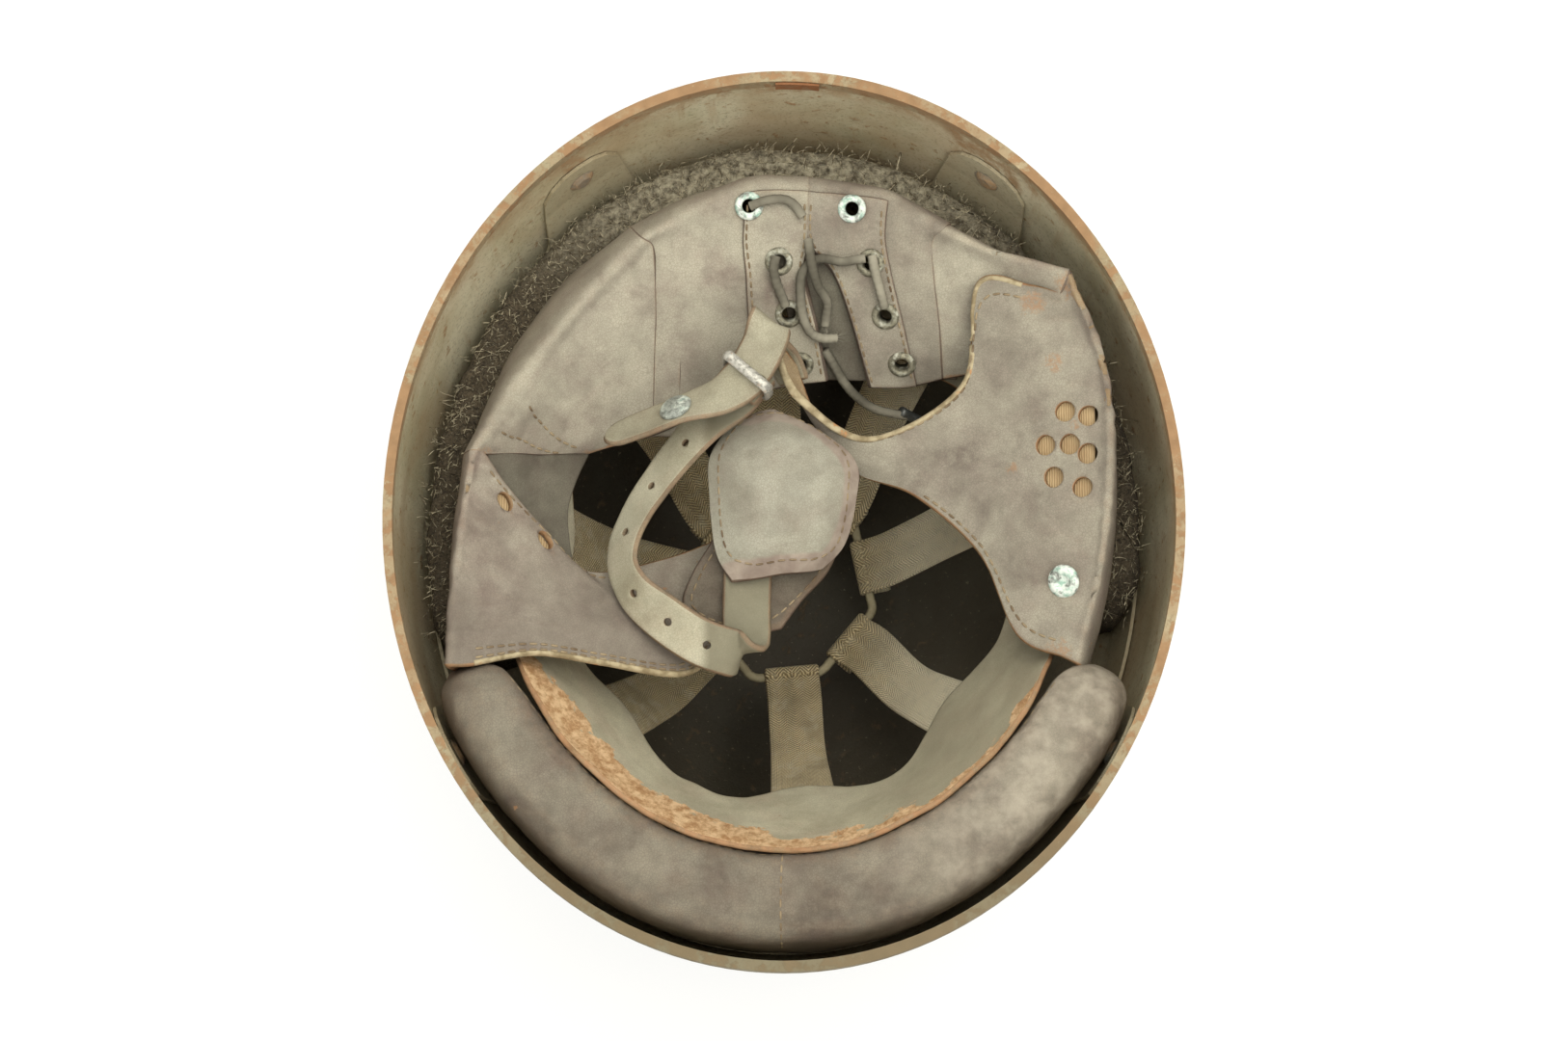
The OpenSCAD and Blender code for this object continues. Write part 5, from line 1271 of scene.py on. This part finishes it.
zigzag = node(tree, "Math", {0: crossways, 1: 0.0029}, operation="PINGPONG").outputs[0]
twill = waved(tree, plus(tree, lengthways, zigzag), 0.0012)
colour = tinted(tree, twill, (0.25, 0.185, 0.095, 1), (0.76, 0.61, 0.36, 1))
for share, tone in (
        (times(tree, patch_mask(tree, where, 60, 0.42, 0.2), 0.6), (0.2, 0.155, 0.085, 1)),
        # Painted light: the tapes on the +x side are lightened, as lit.
        (spread(tree, axes(tree)[0], 0.02, 0.05, 0.0, 0.7), (0.96, 0.87, 0.66, 1)),
        (times(tree, patch_mask(tree, where, 160, 0.3, 0.1), 0.4), (0.6, 0.54, 0.39, 1))):
    colour = tinted(tree, share, colour, tone)
relief = plus(tree, twill, times(tree, waved(tree, crossways, 0.0007), 0.4))
coated(tree, colour, 0.95, relief, 0.0005, 1.0, Sheen_Weight=0.15)


def ribbon(path, sides, widths, steps, across=8, cup=0.0, sag=0.0, seed=0):
    """Points of a strap or tape laid along a path, with its width along the given sides."""
    table = weights(len(path), np.linspace(0, 1, steps + 1))
    line, side = table @ np.array(path), table @ np.array(sides, float)
    width = table @ np.array(widths, float)
    heading = unit(np.gradient(line, axis=0))
    side = unit(side - heading * (side * heading).sum(-1, keepdims=True))
    share = np.linspace(-0.5, 0.5, across + 1)
    grid = line[:, None] + side[:, None] * (width[:, None] * share)[..., None]
    up = np.cross(side, heading)[:, None]
    grid = grid + up * (cup * (1 - (2 * share) ** 2))[None, :, None]
    if sag:
        grid = grid + up * (sag * waves(grid, 0.012, seed))[..., None]
    return grid


CORD, CORD_RADIUS, CORD_LEVEL = 0.003, 0.027, 0.04
TAPE, TAPE_WIDTH, TAPE_GATHERED, STITCH_GAP = 0.0012, 0.023, 0.017, 0.00035
loop_radius = CORD / 2 + STITCH_GAP + TAPE / 2


def cord_reach(angle):
    """Distance of the crown cord from the axis where a tape loops over it."""
    return CORD_RADIUS * (1 + (HALF_LENGTH / HALF_WIDTH - 1) * math.sin(math.radians(angle)) ** 2)


for k, angle in enumerate(TAPE_ANGLES):
    a = math.radians(angle)
    out, up = np.array([math.cos(a), math.sin(a), 0]), np.array([0, 0, 1])
    rib = np.array(placed(sweat_rib(angle)))
    spots = weights(3, [0.83, 0.9, 0.975, 0.85, 1.0]) @ rib
    sewn_side = np.cross(unit(spots[4] - spots[3]), (-out[1], out[0], 0))
    on_cord = out * cord_reach(angle) + up * CORD_LEVEL
    path = [spot + sewn_side * (SWEATBAND / 2 + 1.8 * STITCH_GAP + TAPE / 2) for spot in spots[:3]]
    path += list(placed([polar(51, angle, 49), polar(42, angle, 61)]))
    path.append(on_cord + out * loop_radius * 3.6 + up * loop_radius * 3)
    for turn in (40, 0, -50, -100, -150):
        b = math.radians(turn)
        path.append(on_cord + (out * math.sin(b) + up * math.cos(b)) * loop_radius)
    path.append(on_cord + out * 0.007 - up * loop_radius)
    widths = [TAPE_WIDTH + (TAPE_GATHERED - TAPE_WIDTH) * min(i / 4, 1) for i in range(len(path))]
    grid = ribbon(path, [(-out[1], out[0], 0)] * len(path), widths, 110, 14)
    share = np.linspace(-1, 1, 15)
    gathered = np.clip(np.linspace(-0.25, 0.9, 111), 0, 0.35) * (np.arange(111) < 70)
    grid[..., 2] += (gathered[:, None] * 0.0016 * np.cos(share * 7 + k)[None]) * (1 - share ** 4)
    tape = cut_sheet(f"crown_tape_{k + 1}_cloth", grid, TAPE, [tape_cloth])
    edge_marks(tape, grid)
    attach(tape, "helmet")
    fit(tape, "cotton_tape", None, f"crown_tape_{k + 1}")

ring = []
for angle in range(0, 360, 5):
    reach = min(cord_reach(t) / math.cos(math.radians(angle - t)) for t in TAPE_ANGLES
                if math.cos(math.radians(angle - t)) > 0.5)
    ring.append((reach * math.cos(math.radians(angle)), reach * math.sin(math.radians(angle)),
                 CORD_LEVEL))
line = weights(72, steps_of(300, True), True) @ np.array(ring)
crown_cord, tree = finish_of("crown_cord_cotton")
coated(tree, tinted(tree, noise_at(tree, place_of(tree), 500, 4, 0.7), (0.2, 0.165, 0.1, 1),
                    (0.42, 0.37, 0.25, 1)), 0.95)
cord = swept("crown_cord_twist", cord_rings(line, CORD, 3, 0.009, closed=True), [crown_cord],
             closed=True)
fit(cord, "cord", "helmet", "crown_cord")


# The chin straps: a tongue sewn to the right flap that runs up through a wire-frame buckle, and a
# holed strap that loops back to it. Both are tan leather, greyed, soft and cracked at the bends.
strap_face = leather("strap_face", (0.5, 0.465, 0.35, 1), (0.68, 0.645, 0.51, 1),
                     (0.34, 0.3, 0.21, 1), 0.62, 0.05, 0.8)
tree = strap_face.node_tree
across, lengthways, _ = axes(tree)
# Painted shade: the strap is darkened at its front bend, where it turns down towards its loop.
glaze(tree, times(tree, spread(tree, lengthways, -0.054, -0.042),
                 spread(tree, across, -0.027, -0.0225, 0, 0.8)), (0.2, 0.18, 0.125, 1))
# Punching would join two like finishes into one, so the strap's back has its own
strap_back = strap_face.copy()
strap_back.name = "strap_back"
tongue_face = leather("tongue_face", (0.4, 0.36, 0.26, 1), (0.55, 0.515, 0.4, 1),
                      (0.25, 0.215, 0.15, 1), 0.58, 0.05, 0.8)
strap_edge = leather("strap_edge", (0.3, 0.24, 0.16, 1), (0.45, 0.38, 0.28, 1),
                     (0.17, 0.12, 0.08, 1), 0.4, 0.2, 0.3)
ACROSS_BAR, ALONG_BAR, UP = np.array([[0.76, -0.65, 0], [0.65, 0.76, 0], [0, 0, 1]])
TONGUE, STRAP = 0.0125, 0.002
tongue_route = laid([[3, 48.5, 31.5], [-1, 56, 27.8], [-4, 60.8, 23.8], [-4.8, 64, 18.8],
                     [-4.6, 62.6, 14.2], [-5.4, 58, 13.3], [-7.2, 53.8, 14.6], [-9.3, 50.2, 15.6],
                     [-10.4, 48.5, 15.6], [-12.5, 45.6, 16.4], [-20, 40.5, 19], [-32, 37, 22],
                     [-45, 32.5, 25], [-55.5, 28.5, 27]])
tongue_sides = [ACROSS_BAR] * 10 + [(0.5, -0.75, 0.42)] + [(0.25, -0.66, 0.7)] * 2
tongue_sides += [(0.25, -0.68, 0.66)]
tongue_widths = [TONGUE * 0.85] + [TONGUE] * 11 + [TONGUE * 0.94, TONGUE * 0.7]
tongue_grid = ribbon(tongue_route, tongue_sides, tongue_widths, 150, 12, sag=0.00018, seed=61)
to_end = run_of(tongue_grid[:, 6])
to_end = np.clip((to_end[-1] - to_end) / 0.005, 0, 1)
middle = tongue_grid[:, 6:7]
narrowed = np.sqrt(np.clip(1 - (1 - to_end) ** 2, 0.03, 1))[:, None, None]
tongue_grid = middle + (tongue_grid - middle) * narrowed
tongue = cut_sheet("tongue_leather", tongue_grid, STRAP, [tongue_face, strap_edge, tongue_face])
edge_marks(tongue, tongue_grid, 0.0015)
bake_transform(tongue)
fit(tongue, "strap_leather", None, "tongue_strap", "tongue_tail")
STUD = [(0.0001, 0.0021), (0.0016, 0.0021), (0.0034, 0.0018), (0.0049, 0.0011), (0.0054, 0.0004),
        (0.0052, 0), (0.0001, 0)]
stud_metal = corroded("stud_metal", (0.36, 0.38, 0.35, 1), (0.56, 0.59, 0.53, 1),
                      (0.25, 0.31, 0.28, 1), 0.4, 0.35)
at, out = spot_on(tongue_grid, 11.1 / 13, 0.5)
out = out if out[2] > 0 else -out
stud = lathed("tongue_press_stud", STUD, at + out * STRAP / 2, out, [stud_metal], 36)
fit(stud, "corroded_metal", "chin_strap", "tongue_stud")
SOCKET = [(0.0008, 0.0009), (0.0016, 0.001), (0.0022, 0.0017), (0.003, 0.0021), (0.0041, 0.0018),
          (0.0048, 0.0012), (0.0052, 0.0004), (0.0051, 0), (0.0008, 0)]
at, out = spot_on(right_grid, *STUD_PLACE)
stud = lathed("flap_press_stud", SOCKET, at + out * LEATHER / 2, out, [bloomed], 36)
fit(stud, "corroded_metal", "right_ear_flap", "flap_stud")

WIRE, WIRE_WIDTH, BAR_GAP = 0.001, 0.0018, 0.0005
bar_rise = STRAP / 2 + BAR_GAP + WIRE
buckle_at = laid([[-11.3, 47.1, 15.6]])[0]
FRAME_HALF, FRAME_RISE, FRAME_CORNER = 0.0085, 0.0055, 0.0016
centre = buckle_at + UP * (bar_rise - FRAME_RISE)
path = []
for sx, sz, start in ((1, 1, 0), (-1, 1, 90), (-1, -1, 180), (1, -1, 270)):
    for turn in np.linspace(0, 90, 7):
        b = math.radians(start + turn)
        path.append(centre
                    + ACROSS_BAR * (sx * (FRAME_HALF - FRAME_CORNER) + FRAME_CORNER * math.cos(b))
                    + UP * (sz * (FRAME_RISE - FRAME_CORNER) + FRAME_CORNER * math.sin(b)))
rings = []
for place, ahead, behind_it in zip(path, np.roll(path, -1, 0), np.roll(path, 1, 0)):
    inward = np.cross(unit(ahead - behind_it), ALONG_BAR)
    rings.append([place + inward * WIRE * math.cos(a) + ALONG_BAR * WIRE_WIDTH * math.sin(a)
                  for a in turns(14)])
buckle_steel = corroded("buckle_steel", (0.46, 0.44, 0.4, 1), (0.55, 0.52, 0.46, 1),
                        (0.42, 0.22, 0.11, 1), 0.14, 0.35)
buckle_steel.node_tree.nodes["Bump"].inputs["Strength"].default_value = 0.2
buckle = swept("buckle_frame", np.array(rings), [buckle_steel], closed=True)
fit(buckle, "corroded_metal", "chin_strap", "buckle")

strap_route = laid([[-9.5, 12, 34], [-10.5, 0, 34.4], [-11.3, -12, 34.8], [-11.7, -24, 35.2],
                    [-11.8, -33.5, 35.4], [-13.2, -38, 33.4], [-17.5, -38, 31.4], [-27, -34.5, 31],
                    [-38, -27, 31], [-47, -18.5, 31.5], [-50.5, -8, 31.8], [-46.5, 5, 31.6],
                    [-36.5, 20, 30.2], [-24.5, 34, 28], [-15.5, 42, 26.2]])
lower_bar = buckle_at + UP * (bar_rise - 2 * FRAME_RISE)
bar_loop = WIRE + STITCH_GAP + STRAP / 2
strap_route = list(strap_route) + [
    lower_bar + ALONG_BAR * q / 1000 + UP * level * bar_loop for q, level in
    ((-1.5, -1), (1.6, -1), (3.2, -0.7), (4.1, 0), (3.2, 0.7), (1.6, 1), (-1.5, 1), (-5, 0.9))]
strap_sides = [[1, 0, 0]] * 3 + [
    [1, 0.1, 0], [0.9, 0.4, 0], [0.78, 0.63, 0], [0.5, 0.85, 0.1], [0.35, 0.88, 0.3],
    [0.4, 0.83, 0.38], [0.5, 0.55, 0.7], [0.62, 0, 0.78], [0.62, -0.25, 0.74],
    [0.62, -0.45, 0.64], [0.62, -0.66, 0.42]] + [[0.76, -0.65, 0]] * 9
STRAP_WIDTH, STRAP_HOLE = 0.0135, 0.0026
strap_grid = ribbon(strap_route, strap_sides, [STRAP_WIDTH] * 23, 330, 12, sag=0.00015, seed=71)
strap = cut_sheet("holed_strap_leather", strap_grid, STRAP, [strap_face, strap_edge, strap_back])
edge_marks(strap, strap_grid, 0.0015)
punched(strap, [spot_on(strap_grid, s / 22, 0.5)
                for s in (4.1, 6.7, 7.8, 8.9, 10.6, 11.6, 12.5)], STRAP_HOLE, 14)
fit(strap, "strap_leather", "chin_strap", "holed_strap")


# The chin cup: two shaped pieces of leather, one over the other with the strap between them. The
# upper one is grey-green with dust inside its stitched, darker border.
cup_rows = [[[-13, -11, 19.2], [-7, -10.5, 18.2], [0, -9.6, 17.4], [6, -9, 18.4], [9.5, -8, 20.2]],
            [[-17, -4.5, 19.4], [-9, -4, 16], [0, -3.5, 14.8], [9, -3, 16.4], [15, -2.5, 20.2]],
            [[-18.4, 7, 19.6], [-10, 7, 14.6], [0, 7, 13.2], [10, 7, 14.6], [18, 7, 19.4]],
            [[-18.6, 16, 18.4], [-10, 16.5, 14.2], [0, 17, 12.8], [10, 16.5, 14.2],
             [18.2, 15, 18.2]],
            [[-13.5, 23.5, 19.6], [-8, 24, 18], [-1, 24.4, 16.8], [5.8, 23, 17],
             [10.4, 21.4, 18.2]],
            [[-7.5, 26.6, 20.2], [-5.5, 27.2, 19.8], [-3, 27.5, 19.4], [-0.4, 26.4, 19.4],
             [2.6, 25.2, 19.6]]]
cup_lining_rows = [
    [[-17, -21.5, 24.8], [-12, -22, 24.2], [-6, -21.5, 24], [-1, -20.5, 24.4]],
    [[-25, -16, 24.6], [-15, -16, 23.8], [-5, -15.5, 23.4], [4, -14.5, 24]],
    [[-23, -9, 23.4], [-12, -9, 22.6], [0, -8.5, 22.6], [11, -7.5, 23.4]],
    [[-16, 2, 23.2], [-7, 2, 22.4], [4, 2, 22.4], [14.5, 2, 23.2]],
    [[-15, 12, 22.8], [-7, 12, 22.2], [3, 12, 22.2], [13, 11, 22.8]],
    [[-11, 19.5, 22.6], [-6, 20, 22.2], [0, 20, 22.2], [6, 18.5, 22.6]]]
cup_hide = leather("cup_hide", (0.4, 0.375, 0.3, 1), (0.53, 0.51, 0.43, 1),
                   (0.27, 0.24, 0.19, 1), 0.6, 0.05, 0.8)
tree = cup_hide.node_tree
where = place_of(tree)
border = plus(tree, axes(tree, "lay")[2], times(tree, noise_at(tree, where, 160, 4), 0.12))
glaze(tree, spread(tree, border, 0.27, 0.36, 0.0, 0.95),
     tinted(tree, patch_mask(tree, where, 120, 0.5, 0.2), (0.27, 0.205, 0.175, 1),
            (0.42, 0.345, 0.29, 1)))
under_hide = leather("cup_under_hide", (0.17, 0.14, 0.11, 1), (0.3, 0.26, 0.205, 1),
                     (0.1, 0.08, 0.062, 1), 0.4, 0.05, 0.8)
for cup_name, rows, seed, sag, hide, inset in (
        ("chin_cup", cup_rows, 81, 0.0005, cup_hide, 0.11),
        ("chin_cup_lining", cup_lining_rows, 91, 0.0002, under_hide, 0.09)):
    grid = ribbed([placed(row) for row in rows], 80, 70)[::-1]
    grid = weathered(grid, seed, sag)
    cup = cut_sheet(cup_name + "_leather", grid, LEATHER, [hide, dark_edge, flesh_side])
    edge_marks(cup, grid, 0.0045)
    fit(cup, "leather", "chin_cup", cup_name)
    run = [(inset, 0.5), (inset, 0.2), (0.22, inset), (0.5, inset * 0.9), (0.8, inset),
           (1 - inset, 0.25), (1 - inset, 0.5), (1 - inset, 0.75), (0.8, 1 - inset),
           (0.5, 1 - inset * 0.9), (0.22, 1 - inset), (inset, 0.8), (inset, 0.5)]
    seam = sewn(cup_name + "_seam", grid, [run], LEATHER / 2, stitch_thread, 0.0034, 0.0007)
    fit(seam, "cord", "chin_cup")
